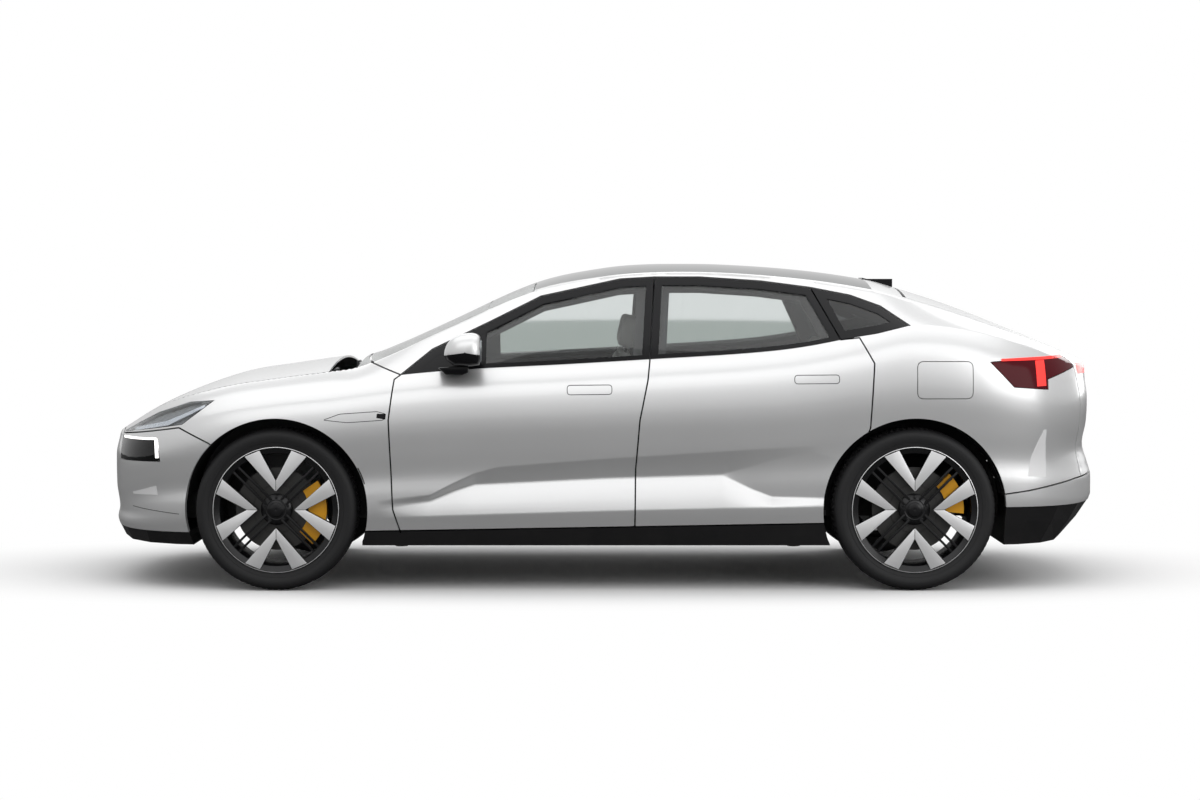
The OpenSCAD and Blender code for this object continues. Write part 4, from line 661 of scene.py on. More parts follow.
def addMix(tree, factor, a, b, blend="MIX"):
    node = tree.nodes.new("ShaderNodeMix")
    node.data_type, node.blend_type = "RGBA", blend
    for socket, value in ((node.inputs[0], factor), (node.inputs[6], a), (node.inputs[7], b)):
        if isinstance(value, (int, float, tuple)):
            socket.default_value = value
        else:
            tree.links.new(value, socket)
    return node.outputs[2]


def addNoise(tree, vector, scale, detail=4, rough=.55):
    node = tree.nodes.new("ShaderNodeTexNoise")
    node.inputs["Detail"].default_value, node.inputs["Roughness"].default_value = detail, rough
    if isinstance(scale, (int, float)):
        node.inputs["Scale"].default_value = scale
    else:
        tree.links.new(scale, node.inputs["Scale"])
    tree.links.new(vector, node.inputs["Vector"])
    return node.outputs["Fac"]


def unevenGroup():
    tree, given, made = newGroup("unevenSurface", {
        "Color": (.5, .5, .5, 1), "Patch Scale": 3, "Patch": .1, "Roughness": .5, "Rough Spread": .1,
        "Grain Scale": 400},
        ("Color", "Roughness", "Height"))
    place = tree.nodes.new("ShaderNodeTexCoord").outputs["Object"]
    patch = addNoise(tree, place, given["Patch Scale"])
    grain = addNoise(tree, place, given["Grain Scale"], 2)
    shade = addMath(tree, "MULTIPLY_ADD", addMath(tree, "SUBTRACT", patch, .5), given["Patch"], 1)
    tone = tree.nodes.new("ShaderNodeCombineColor")
    for socket in tone.inputs:
        tree.links.new(shade, socket)
    tree.links.new(addMix(tree, 1.0, given["Color"], tone.outputs[0], "MULTIPLY"), made["Color"])
    both = addMath(tree, "SUBTRACT", addMath(tree, "ADD", patch, grain), 1)
    tree.links.new(addMath(tree, "MULTIPLY_ADD", both, given["Rough Spread"], given["Roughness"]),
                   made["Roughness"])
    tree.links.new(grain, made["Height"])
    return tree


def dustGroup():
    tree, given, made = newGroup("roadDust", {
        "Color": (.1, .1, .1, 1), "Roughness": .5, "Dust Color": (.22, .20, .18, 1), "Fade Height": .6,
        "Amount": .3},
        ("Color", "Roughness"))
    place, axis = objectAxes(tree)
    fall = tree.nodes.new("ShaderNodeMapRange")
    tree.links.new(axis["Z"], fall.inputs["Value"])
    tree.links.new(given["Fade Height"], fall.inputs["From Min"])
    fall.inputs["From Max"].default_value = .1
    mask = addMath(tree, "MULTIPLY", addMath(tree, "MULTIPLY", fall.outputs[0], given["Amount"]),
                   addNoise(tree, place, 9, 6))
    tree.links.new(addMix(tree, mask, given["Color"], given["Dust Color"]), made["Color"])
    tree.links.new(addMath(tree, "MULTIPLY_ADD", mask, .4, given["Roughness"]), made["Roughness"])
    return tree


def ringGroup():
    tree, given, made = newGroup("turnedRings", {"Roughness": .3, "Spread": .15, "Pitch": 900},
                                 ("Roughness", "Height"))
    axis = objectAxes(tree)[1]
    square = [addMath(tree, "MULTIPLY", axis[label], axis[label]) for label in "XZ"]
    line = tree.nodes.new("ShaderNodeCombineXYZ")
    tree.links.new(addMath(tree, "SQRT", addMath(tree, "ADD", *square)), line.inputs[0])
    ring = addNoise(tree, line.outputs[0], given["Pitch"], 3, .7)
    tree.links.new(addMath(tree, "MULTIPLY_ADD", addMath(tree, "SUBTRACT", ring, .5), given["Spread"],
                           given["Roughness"]), made["Roughness"])
    tree.links.new(ring, made["Height"])
    return tree


def weaveGroup():
    tree, given, made = newGroup("wovenCloth", {"Color": (.5, .5, .5, 1), "Thread": 500, "Depth": .35},
                                 ("Color", "Height"))
    axis = objectAxes(tree)[1]
    waves = [addMath(tree, "SINE", addMath(tree, "MULTIPLY", way, given["Thread"]))
             for way in (addMath(tree, "ADD", axis["X"], axis["Z"]), axis["Y"])]
    cloth = addMath(tree, "MULTIPLY_ADD", addMath(tree, "MULTIPLY", *waves), .5, .5)
    # painted shade: the cloth darkens towards black in the hollows between its threads
    threadShade = addMath(tree, "MULTIPLY", addMath(tree, "SUBTRACT", 1.0, cloth), given["Depth"])
    tree.links.new(addMix(tree, threadShade, given["Color"], (.02, .02, .02, 1)), made["Color"])
    tree.links.new(cloth, made["Height"])
    return tree


groups = {"uneven": unevenGroup(), "dust": dustGroup(), "rings": ringGroup(), "weave": weaveGroup()}


def placeGroup(tree, name, **values):
    node = tree.nodes.new("ShaderNodeGroup")
    node.node_tree = groups[name]
    for label, value in values.items():
        node.inputs[label.replace("_", " ")].default_value = value
    return node


def newFinish(name, color, fixed):
    mat = bpy.data.materials.new(name)
    mat.use_nodes = True
    mat.diffuse_color = (*color, 1)
    shader = mat.node_tree.nodes["Principled BSDF"]
    for label, value in fixed.items():
        shader.inputs[label].default_value = value
    return mat, mat.node_tree, shader.inputs


def addRelief(tree, height, strength, normal):
    relief = tree.nodes.new("ShaderNodeBump")
    relief.inputs["Strength"].default_value, relief.inputs["Distance"].default_value = strength, .001
    tree.links.new(height, relief.inputs["Height"])
    tree.links.new(relief.outputs[0], normal)


def finish(name, color, rough, metal=0, patch=.08, spread=.08, patchScale=3, grain=400, bump=.02, dust=0,
           fixed=None):
    mat, tree, shader = newFinish(name, color, {"Metallic": metal, **(fixed or {})})
    base = placeGroup(tree, "uneven", Color=(*color, 1), Patch_Scale=patchScale, Patch=patch, Roughness=rough,
                      Rough_Spread=spread, Grain_Scale=grain)
    last = base
    if dust:
        last = placeGroup(tree, "dust", Amount=dust)
        for label in ("Color", "Roughness"):
            tree.links.new(base.outputs[label], last.inputs[label])
    tree.links.new(last.outputs["Color"], shader["Base Color"])
    tree.links.new(last.outputs["Roughness"], shader["Roughness"])
    if bump:
        addRelief(tree, base.outputs["Height"], bump, shader["Normal"])
    return mat


def ringFinish(name, color, rough, spread, pitch, metal):
    mat, tree, shader = newFinish(name, color, {"Base Color": (*color, 1), "Metallic": metal})
    rings = placeGroup(tree, "rings", Roughness=rough, Spread=spread, Pitch=pitch)
    tree.links.new(rings.outputs["Roughness"], shader["Roughness"])
    addRelief(tree, rings.outputs["Height"], .08, shader["Normal"])
    return mat


def clothFinish(name, color, thread):
    mat, tree, shader = newFinish(name, color, {"Roughness": .85, "Sheen Weight": .25})
    base = placeGroup(tree, "uneven", Color=(*color, 1), Patch_Scale=6, Patch=.18)
    cloth = placeGroup(tree, "weave", Thread=thread)
    tree.links.new(base.outputs["Color"], cloth.inputs["Color"])
    tree.links.new(cloth.outputs["Color"], shader["Base Color"])
    addRelief(tree, cloth.outputs["Height"], .3, shader["Normal"])
    return mat


def lightFinish(name, color, strength):
    mat = finish(name, color, .3, 0, .05, .05)
    shader = mat.node_tree.nodes["Principled BSDF"].inputs
    shader["Emission Color"].default_value, shader["Emission Strength"].default_value = (*color, 1), strength
    return mat


clear = {"Transmission Weight": 1.0, "IOR": 1.45}
mats = {
    "paint": finish("silverPaint", (.82, .823, .826), .34, .66, .03, .05, 2, 2600, .012, 0,
                    {"Coat Weight": .6, "Coat Roughness": .05, "Specular IOR Level": .5}),
    "jamb": finish("jambPaint", (.42, .425, .43), .42, .3, .08, .08, 3, 900, .02),
    "gloss": finish("glossBlack", (.006, .006, .007), .16, 0, .1, .04, 4, 500, .005, 0,
                    {"Specular IOR Level": .22}),
    "trim": finish("grainedBlack", (.007, .007, .008), .55, 0, .25, .12, 5, 900, .18, .06,
                   {"Specular IOR Level": .25}),
    "glass": finish("tintedGlass", (.80, .825, .82), .02, 0, .02, .01, 2, 40, 0, 0, clear),
    "darkPane": finish("privacyGlass", (.22, .23, .23), .02, 0, .02, .01, 2, 40, 0, 0, clear),
    "roofGlass": finish("darkGlass", (.06, .065, .068), .04, 0, .05, .03, 2, 60, 0, 0, {"Coat Weight": .6}),
    "lens": finish("clearLens", (.93, .95, .97), .02, 0, .02, .01, 3, 60, 0, 0,
                   {**clear, "Specular IOR Level": .2}),
    "smokedLens": finish("smokedLens", (.05, .05, .055), .06, 0, .05, .02, 3, 60, 0, 0,
                         {**clear, "Specular IOR Level": .15}),
    "redLens": finish("redLens", (.095, .006, .011), .12, 0, .15, .05, 8, 220, .02, 0,
                      {"Specular IOR Level": .12}),
    "lampDark": finish("lampHousing", (.008, .008, .009), .45, 0, .3, .1, 30, 500, .05, 0,
                       {"Specular IOR Level": .12}),
    "lampGrey": finish("lampInner", (.22, .225, .23), .35, .3, .3, .1, 30, 500, .05),
    "blade": finish("satinSilver", (.93, .93, .935), .40, .1, .04, .06, 6, 900, .02),
    "lampMetal": finish("lampReflector", (.55, .57, .60), .22, .9, .2, .1, 20, 300, .04),
    "lampWhite": lightFinish("dayLight", (1.0, .98, .95), 1.6),
    "lampRed": lightFinish("tailLight", (.86, .032, .026), 1.0),
    "rubber": finish("tyreRubber", (.011, .011, .012), .66, 0, .3, .12, 14, 700, .22),
    "seal": finish("sealRubber", (.015, .015, .016), .8, 0, .2, .1, 20, 900, .1),
    "alloyDark": finish("blackAlloy", (.010, .010, .011), .26, .3, .2, .08, 12, 600, .03),
    "alloy": ringFinish("machinedAlloy", (.93, .93, .935), .34, .16, 1400, .6),
    "iron": ringFinish("brakeIron", (.085, .084, .082), .42, .2, 900, .8),
    "gold": finish("caliperPaint", (.95, .44, .008), .32, .1, .1, .08, 30, 500, .04, 0, {"Coat Weight": .4}),
    "primer": finish("darkPrimer", (.075, .076, .08), .55, .1, .25, .1, 6, 500, .06, .4),
    "casing": finish("castCasing", (.30, .30, .31), .50, .8, .25, .15, 12, 260, .2, .3),
    "felt": finish("linerFelt", (.016, .016, .017), .95, 0, .3, .05, 20, 1200, .4, .4),
    "cabin": finish("softTrim", (.045, .045, .048), .68, 0, .2, .1, 8, 800, .15),
    "hide": finish("wheelCover", (.028, .028, .03), .48, 0, .2, .12, 30, 500, .2),
    "seat": clothFinish("seatCloth", (.33, .325, .31), 2400),
}
print("finishes made:", len(mats))

# solids that keep their own form get a finish
nodeFinish = {
    "underbody": "primer", "body_cage": "cabin", "lower_cladding": "trim", "wheel_liners": "felt",
    "cowl": "trim", "bay_cover": "trim", "roof_pod": "gloss", "battery_pack": "casing",
    "drive_units": "casing", "dashboard": "cabin", "steering_wheel": "hide", "suspension": "primer",
    "rear_calipers": "gold", "hinge_pins": "primer", "jacking_pads": "seal", "charge_socket": "trim",
    "knuckle_left": "casing", "knuckle_right": "casing", "caliper_left": "gold", "caliper_right": "gold",
}
for nodeName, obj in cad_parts.items():
    obj.data.materials.clear()
    obj.data.materials.append(mats[nodeFinish.get(nodeName, "primer")])


def settle(piece, bodyName, stands=()):
    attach(piece, bodyName)
    if stands:
        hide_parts(*stands)
    return piece


# depths of the panels below the skin: thin along their edges, then a fold to the full depth
sheet, foldRun, archFlange, hingeFlange, lidFlange = .009, .016, .012, .030, .018


def wallDepth(s, w):
    point = skinPoint(s, w)
    out = np.minimum(*(np.hypot(point[:, 0] - axle, point[:, 2] - body["hub"]) for axle in axles))
    deep = np.interp(w, [0, .86, 1, 3], [.128, .128, .060, .060])
    return np.where((out < body["arch"] + archFlange) & (w < 1), sheet, deep)


def doorDepth(outline, hingeX):
    def depth(s, w):
        point = skinPoint(s, w)
        edge = lineDistance(point[:, [0, 2]], outline, True)
        rise = np.clip(np.minimum(edge - hem, point[:, 0] - hingeX - hingeFlange) / foldRun, 0, 1)
        return sheet + rise * (np.interp(w, [0, .80, .96, 3], [.100, .100, .034, .032]) - sheet)
    return depth


def bonnetEdge(s, point):
    ends = np.minimum(np.abs(s - bonnetEnds[0]), np.abs(s - bonnetEnds[1])) * halfLen
    return np.minimum(topEdgeY(s) - np.abs(point[:, 1]), ends)


def gateEdge(s, point):
    plan = np.stack([point[:, 0], np.abs(point[:, 1])], -1)
    return np.minimum(lineDistance(plan, tailgatePlan), np.abs(point[:, 0] - tailgatePlan[0][0]))


def lidDepth(deep, edgeOf):
    def depth(s, w):
        edge = edgeOf(s, skinPoint(s, w))
        return sheet + np.clip((edge - lidFlange) / foldRun, 0, 1) * (deep - sheet)
    return depth


both = ("left", "right")
paintMats, sashMats = [mats["paint"], mats["jamb"]], [mats["gloss"], mats["trim"]]
# on the right-hand side the flap's place is plain skin
paintPanels = (
    ("bodyFrame", ["frame"], wallDepth, both, "car", ["body_frame"]),
    ("quarterSkinRight", ["flap", "flapSeam"], sheet, ("right",), "car", ()),
    ("frontWings", ["fender"], sheet, both, "car", ["front_fenders"]),
    ("frontBumper", ["frontBumper"], .02, both, "car", ["front_bumper"]),
    ("rearBumper", ["rearBumper"], .02, both, "car", ["rear_bumper"]),
    ("bonnetSkin", ["bonnet"], lidDepth(.024, bonnetEdge), both, "bonnet", ["bonnet"]),
    ("tailgateSkin", ["gate"], lidDepth(.026, gateEdge), both, "tailgate", ["tailgate"]),
    ("chargeFlap", ["flap"], .008, ("left",), "charge_flap", ["charge_flap"]),
)
for name, wanted, deep, sides, bodyName, stands in paintPanels:
    settle(panel(name, wanted, paintMats, 0, deep, sides), bodyName, stands)


def plainPanel(name, wanted, mat, outer, inner, sides=both):
    return panel(name, wanted, [mats[mat]], outer, inner, sides, 0, 0)


settle(plainPanel("windscreenGlass", ["screen"], "glass", 0, .006), "car", ["windscreen"])
settle(plainPanel("roofPane", ["roof"], "roofGlass", 0, .006), "car", ["roof_glass"])
settle(plainPanel("quarterPanes", ["quarterGlass"], "darkPane", .004, .009), "car",
       ["quarter_windows"])
settle(panel("quarterSash", ["quarterSash"], sashMats, .001, wallDepth), "car")
for end, outline, hingeX in (("front", frontDoor, -.895), ("rear", rearDoor, .275)):
    for hand in both:
        door, tag, sides = "door_%s_%s" % (end, hand), end + hand.title(), (hand,)
        deep = doorDepth(outline, hingeX)
        settle(panel(tag + "DoorSkin", [end + "Skin"], [mats["paint"], mats["cabin"]], 0, deep, sides), door,
               [door])
        settle(panel(tag + "DoorSash", [end + "Sash"], sashMats, .001, deep, sides), door)
        pane = [end + "Glass"] + (["frontSail"] if end == "front" else [])
        settle(plainPanel(tag + "DoorGlass", pane, "glass", .006, .011, sides), door,
               ["window_%s_%s" % (end, hand)])
        if end == "front":
            settle(plainPanel("sail" + hand.title(), ["frontSail"], "gloss", .0015, .0055, sides), door)
print("skins made")


# strip let into the skin along a line in side view, or round an outline with rounded corners
def ribbon(name, points, width, mat, outer, inner, corner=0):
    points, closed = np.asarray(points, float), corner > 0
    if closed:
        points = roundCorners(points, corner)
    line = dense(points, .02, closed)
    if closed:
        line = line[:-1]
    width = np.asarray(width if np.ndim(width) else [width] * len(line), float)
    if len(width) != len(line):
        width = np.interp(np.linspace(0, 1, len(line)), np.linspace(0, 1, len(width)), width)
    out = beside(line, 1, closed) - line
    across = np.linspace(.5, -.5, 2 if width.max() < .03 else 7)
    rows = []
    for depth in (outer, inner):
        for share in across:
            point, normal = skinFrame(*fromSide(line + out * (width * share)[:, None]))
            rows.append(point - normal * depth)
    n, m = len(line), len(across)
    at = np.arange(2 * m * n).reshape(2, m, n)
    loops = [list(at[0, :, i]) + list(at[1, ::-1, i]) for i in range(n)]
    faces = []
    for i in range(n if closed else n - 1):
        here, there = loops[i], loops[(i + 1) % n]
        faces += [(here[j - 1], here[j], there[j], there[j - 1]) for j in range(2 * m)]
    if not closed:
        faces += [loops[0], loops[-1]]
    pieces = []
    for hand in both:
        flip = np.array([1, 1 if hand == "left" else -1, 1])
        piece = makeMesh(name + hand.title(), np.vstack(rows) * flip, faces, [mat])
        tidyNormals(piece)
        pieces.append(piece)
    return pieces


def markSharp(bm, angle):
    for edge in bm.edges:
        edge.smooth = len(edge.link_faces) == 2 and edge.calc_face_angle(0) < math.radians(angle)


def tidyNormals(piece):
    bm = bmesh.new()
    bm.from_mesh(piece.data)
    bmesh.ops.recalc_face_normals(bm, faces=bm.faces)
    markSharp(bm, 35)
    bm.to_mesh(piece.data)
    bm.free()


# outline in side view pushed from one depth to another
def pushed(bm, outline, y0, y1):
    low = [bm.verts.new((x, y0, z)) for x, z in outline]
    high = [bm.verts.new((x, y1, z)) for x, z in outline]
    n = len(outline)
    faces = [bm.faces.new(low[::-1]), bm.faces.new(high)]
    for i in range(n):
        bm.faces.new((low[i], low[(i + 1) % n], high[(i + 1) % n], high[i]))
    return faces


# closed rows of points joined into a ring or a tube
def joinRows(bm, rows, around=True):
    m, n = len(rows), len(rows[0])
    return [[bm.faces.new((rows[i][k], rows[i][(k + 1) % n], rows[(i + 1) % m][(k + 1) % n],
                           rows[(i + 1) % m][k]))
             for k in range(n)] for i in range(m if around else m - 1)]


def spun(bm, profile, steps, bright=-1):
    turn = [2 * math.pi * i / steps for i in range(steps)]
    faces = joinRows(bm, [[bm.verts.new((r * math.cos(a), y, r * math.sin(a))) for r, y in profile]
                          for a in turn])
    if bright >= 0:
        for row in faces:
            row[bright].material_index = 1


def fromBm(name, bm, matNames, angle=32, bevel=0):
    bmesh.ops.recalc_face_normals(bm, faces=bm.faces)
    if bevel:
        sharp = [e for e in bm.edges if len(e.link_faces) == 2 and e.calc_face_angle(0) > math.radians(40)]
        bmesh.ops.bevel(bm, geom=sharp, offset=bevel, segments=2, profile=.6, affect="EDGES",
                        clamp_overlap=True)
    markSharp(bm, angle)
    for face in bm.faces:
        face.smooth = True
    mesh = bpy.data.meshes.new(name)
    bm.to_mesh(mesh)
    bm.free()
    for m in matNames:
        mesh.materials.append(mats[m])
    piece = bpy.data.objects.new(name, mesh)
    scene.collection.objects.link(piece)
    return piece


wheel = {"track": .840, "rim": .280, "flange": .297, "barrel": .262, "face": .126, "back": -.126,
         "lip": .2905, "spoke": .034, "apex": .084, "notch": .138, "wide": 30.3, "narrow": 15,
         "barHalf": .0055, "barApart": .0165, "barFrom": .05, "hub": .074, "bore": .0285, "cap": .032,
         "boltRing": .056, "bolt": .008}


def polar(r, degrees):
    return (r * math.cos(math.radians(degrees)), r * math.sin(math.radians(degrees)))


def rimPiece(name):
    # looked at from outside; the face lies at high y
    w = wheel
    front, back, flange, cap = w["face"], w["back"], w["flange"], w["cap"]
    bm = bmesh.new()
    spun(bm, [(w["barrel"], back), (flange, back), (flange, back + .006), (w["rim"], back + .010),
              (w["rim"] - .012, 0), (w["rim"], front - .016), (flange, front - .010), (flange, front - .001),
              (flange - .005, front), (flange - .012, front - .004), (w["barrel"] + .004, front - .012),
              (w["barrel"], front - .05)], 120, 7)
    reach, face = w["barrel"] + .010, front - .006
    for turn in (90, 180, 270, 360):
        for side in (-1, 1):
            shape = [polar(w["apex"], turn), polar(w["lip"], turn + side * w["wide"]),
                     polar(w["lip"], turn + side * w["narrow"]), polar(w["notch"], turn)]
            bright = pushed(bm, shape[::side], face - w["spoke"], face)[1]
            bright.material_index = 1
            # the face rises to the lip of the rim
            for vert in bright.verts:
                if math.hypot(vert.co.x, vert.co.z) > w["barrel"]:
                    vert.co.y = front - .0004
        along, across = np.array(polar(1, turn + 45)), np.array(polar(1, turn + 135))
        for side in (-1, 1):
            low, high = (across * (side * w["barApart"] + way * w["barHalf"]) for way in (-1, 1))
            near, far = along * w["barFrom"], along * reach
            pushed(bm, [near + low, far + low, far + high, near + high], face - .030, face - .008)
    spun(bm, [(w["bore"], face - .070), (w["hub"], face - .070), (w["hub"], face - .024),
              (w["hub"] - .006, face - .019), (cap + .016, face - .010), (cap + .012, face - .011),
              (cap + .002, face - .008), (cap, face - .002), (cap - .006, face + .0005), (.001, face + .0015),
              (.001, face - .03), (w["bore"], face - .03)], 64)
    for k in range(5):
        cx, cz = polar(w["boltRing"], 72 * k + 90)
        bolt = [(cx + x, cz + z) for x, z in (polar(w["bolt"], 60 * i) for i in range(6))]
        pushed(bm, bolt, face - .022, face - .011)
    return fromBm(name, bm, ["alloyDark", "alloy"], 30, .0012)


tyre = {"radius": .382, "blocks": 84, "grooves": (.060, .021, -.021, -.060), "groove": .008, "sipe": .0045,
        "slant": .72, "wall": [(.2976, .119), (.312, .1225), (.330, .1285), (.340, .1305), (.352, .1300),
                               (.362, .1262), (.370, .1190), (.3755, .1090), (.3790, .0950)],
        "rings": ((.318, .1245), (.346, .1296))}


def tyrePiece(name):
    def crown(y):
        return tyre["radius"] - .003 * (abs(y) / .09) ** 2

    profile = list(tyre["wall"])
    for mid in tyre["grooves"]:
        floor = crown(mid) - tyre["groove"]
        profile += [(crown(mid + .006), mid + .006), (floor, mid + .0045), (floor, mid - .0045),
                    (crown(mid - .006), mid - .006)]
    profile += [(r, -y) for r, y in tyre["wall"][::-1]]
    profile += [(wheel["rim"] + .001, -.116), (wheel["rim"] + .001, .116)]
    bm = bmesh.new()
    steps = 4 * tyre["blocks"]
    rows = []
    for i in range(steps):
        a, row = 2 * math.pi * i / steps, []
        for r, y in profile:
            # sipes across the blocks, slanted away from the middle
            phase = ((a + abs(y) * tyre["slant"] / tyre["radius"]) * tyre["blocks"] / (2 * math.pi)) % 1
            if phase < .20 and r > .3745 and abs(y) < .118:
                r -= tyre["sipe"]
            row.append(bm.verts.new((r * math.cos(a), y, r * math.sin(a))))
        rows.append(row)
    joinRows(bm, rows)
    # raised rings on the side walls
    for sign in (-1, 1):
        for r, y in tyre["rings"]:
            spun(bm, [(r - .0025, sign * (y - .002)), (r, sign * (y + .0012)),
                      (r + .0025, sign * (y - .002))], 120)
    return fromBm(name, bm, ["rubber"], 28)


disc = {"edge": .195, "slit": .186, "vanes": 48, "vaneRing": .190, "vaneHalf": .003,
        "vaneEnds": (.006, .0045), "vaneDepths": (.0385, .0535)}


def discPiece(name):
    bm = bmesh.new()
    edge, slit = disc["edge"], disc["slit"]
    spun(bm, [(.112, .028), (edge, .028), (edge, .039), (slit, .040), (slit, .051), (edge, .052),
              (edge, .062), (.114, .062), (.112, .0645), (.070, .0645), (.033, .0645), (.033, .028)], 96)
    near, far = disc["vaneRing"] - disc["vaneEnds"][0], disc["vaneRing"] + disc["vaneEnds"][1]
    for k in range(disc["vanes"]):
        out, side = (np.array(polar(1, 360 * k / disc["vanes"] + turn)) for turn in (0, 90))
        side = side * disc["vaneHalf"]
        pushed(bm, [out * near + side, out * far + side, out * far - side, out * near - side],
               *disc["vaneDepths"])
    return fromBm(name, bm, ["iron"], 32)


def placeWheel(piece, end, hand):
    x = body["frontAxle"] if end == "front" else body["rearAxle"]
    turn = math.pi if hand == "left" else 0
    piece.data.transform(Matrix.Rotation(turn, 4, "Z"))
    piece.location = (x, -wheel["track"] if hand == "left" else wheel["track"], body["hub"])


for end in ("front", "rear"):
    for hand in both:
        tag, wheelBody = end + hand.title(), "wheel_%s_%s" % (end, hand)
        for maker, part, slotName in ((rimPiece, "rim", "wheel_alloy"), (tyrePiece, "tyre", "tyre"),
                                      (discPiece, "disc", "brake_iron")):
            piece = maker(tag + part.title())
            placeWheel(piece, end, hand)
            settle(piece, wheelBody, ["%s_%s_%s" % (part, end, hand)])
print("wheels made")


# lamps: lens over a dark housing, with the light shapes between them
def lampPanels(region, stands, lens, inner):
    settle(plainPanel(region + "Housing", [region], inner, .020, .037), "car", stands)
    settle(plainPanel(region + "Lens", [region], lens, .0005, .004), "car")


lampPanels("headlamp", ["headlamps"], "lens", "lampGrey")
lampPanels("lowerLamp", [], "smokedLens", "lampDark")
lampPanels("tailLamp", ["tail_lamps"], "redLens", "lampDark")
barMats = [mats["lampRed"], mats["lampDark"]]
settle(panel("lightBar", ["lightBar"], barMats, .0005, .008), "tailgate", ["light_bar"])
tailBar = dense(np.array([[1.860, 1.086], [2.060, 1.092], [2.300, 1.106]]), .004)
onGate = inside(np.abs(skinPoint(*fromSide(tailBar))[:, :2]), tailgateArea)
lampLights = {
    "dayLightTop": ([[-2.318, .706], [-2.112, .712]], .010, "lampWhite"),
    "dayLightRear": ([[-2.112, .712], [-2.106, .622]], .016, "lampWhite"),
    "beamBlade": ([[-2.250, .752], [-2.060, .790], [-1.880, .872]], [.014, .022, .010], "lampMetal"),
    "tailBarTop": (tailBar[~onGate], [.010, .014, .012], "lampRed"),
    "tailBarUpright": ([[2.052, 1.082], [2.058, .962]], .046, "lampRed"),
}
for name, (line, width, mat) in lampLights.items():
    near = .008 if name == "beamBlade" else -.0004
    for piece in ribbon(name, line, width, mats[mat], near, near + .006):
        settle(piece, "car")
print("lamps made")


# one crowned cushion with sewn channels: rounded box swelled in the middle, pulled in along its seams
padding = {"cells": (18, 26, 14), "round": 5.0, "crown": .018, "seam": .010, "wing": .016, "welt": .010,
           "wingFrom": .56}


def cushion(name, centre, size, tilt, channels=5, flat=False):
    bm = bmesh.new()
    n, crown, wingFrom = padding["cells"], padding["crown"], padding["wingFrom"]
    grid = {}

    def vert(index):
        if index not in grid:
            u = 2 * np.array(index) / n - 1
            # corners pulled to a rounded box
            length = (np.abs(u) ** padding["round"]).sum() ** (1 / padding["round"])
            p = u * np.max(np.abs(u)) / max(length, 1e-6) * np.array(size) / 2
            share = p[0] / size[0] if flat else p[2] / size[2]
            face = -u[2] if flat else u[0]
            if face < -.6 and channels:
                swell = crown * (1 - u[1] ** 2) * (1 - (2 * share) ** 4)
                seam = (.5 + .5 * math.cos(2 * math.pi * channels * (share + .5))) ** 10 * padding["seam"]
                wing = (padding["wing"] * max(0, (abs(u[1]) - .55) / .45) ** 1.5
                        - padding["welt"] * math.exp(-((abs(u[1]) - wingFrom) / .05) ** 2))
                push = swell - seam * (abs(u[1]) < wingFrom) + wing - crown
                if flat:
                    p[2] += push
                else:
                    p[0] -= push
            grid[index] = bm.verts.new(p)
        return grid[index]

    for axis in range(3):
        b, c = [a for a in range(3) if a != axis]
        for end in (0, n[axis]):
            for i in range(n[b]):
                for j in range(n[c]):
                    ids = []
                    for di, dj in ((0, 0), (1, 0), (1, 1), (0, 1)):
                        index = [0, 0, 0]
                        index[axis], index[b], index[c] = end, i + di, j + dj
                        ids.append(vert(tuple(index)))
                    bm.faces.new(ids)
    piece = fromBm(name, bm, ["seat"], 60)
    piece.data.transform(Matrix.Translation(centre) @ Matrix.Rotation(math.radians(tilt), 4, "Y"))
    smooth = piece.modifiers.new("soft", "SUBSURF")
    smooth.levels = smooth.render_levels = 1
    return piece


def settleCushions(parts, node):
    for k, piece in enumerate(parts):
        settle(piece, "car", [node] if node and k == 0 else ())


seat = {"y": .350, "wide": .466, "headWide": .27, "rails": (-.20, .17), "railWide": .03, "pan": .17,
        "posts": (-.07, .058), "postWide": .012,
        "rail": [(-.50, .358), (-.06, .358), (-.02, .44), (-.06, .47), (-.50, .47), (-.53, .44)],
        "panLine": [(-.44, .40), (-.10, .40), (-.10, .455), (-.44, .455)],
        "post": [(.093, 1.08), (.105, 1.08), (.128, 1.16), (.116, 1.16)]}
for hand, sign in (("Left", -1), ("Right", 1)):
    y, wide = sign * seat["y"], seat["wide"]
    settleCushions([cushion("seatBase" + hand, (-.325, y, .535), (.490, wide, .15), -3, 4, True),
                    cushion("seatBack" + hand, (.030, y, .845), (.105, wide, .54), 15, 6),
                    cushion("seatHead" + hand, (.122, y, 1.205), (.09, seat["headWide"], .15), 12, 0)],
                   "front_seats" if hand == "Left" else None)
    bm = bmesh.new()
    for at in seat["rails"]:
        pushed(bm, seat["rail"], y + at, y + at + seat["railWide"])
    pushed(bm, seat["panLine"], y - seat["pan"], y + seat["pan"])
    for at in seat["posts"]:
        pushed(bm, seat["post"], y + at, y + at + seat["postWide"])
    settle(fromBm("seatFrame" + hand, bm, ["cabin"], 32, .003), "car")
bench = {"wide": 1.230, "plinth": [(.48, .358), (.985, .358), (.985, .52), (.90, .43), (.48, .43)],
         "plinthHalf": .60}
settleCushions([cushion("benchBase", (.665, 0, .505), (.455, bench["wide"], .17), -3, 4, True),
                cushion("benchBack", (1.035, 0, .875), (.115, bench["wide"], .60), 15, 5)], "rear_bench")
bm = bmesh.new()
pushed(bm, bench["plinth"], -bench["plinthHalf"], bench["plinthHalf"])
settle(fromBm("benchPlinth", bm, ["cabin"], 32, .004), "car")
print("seats made")


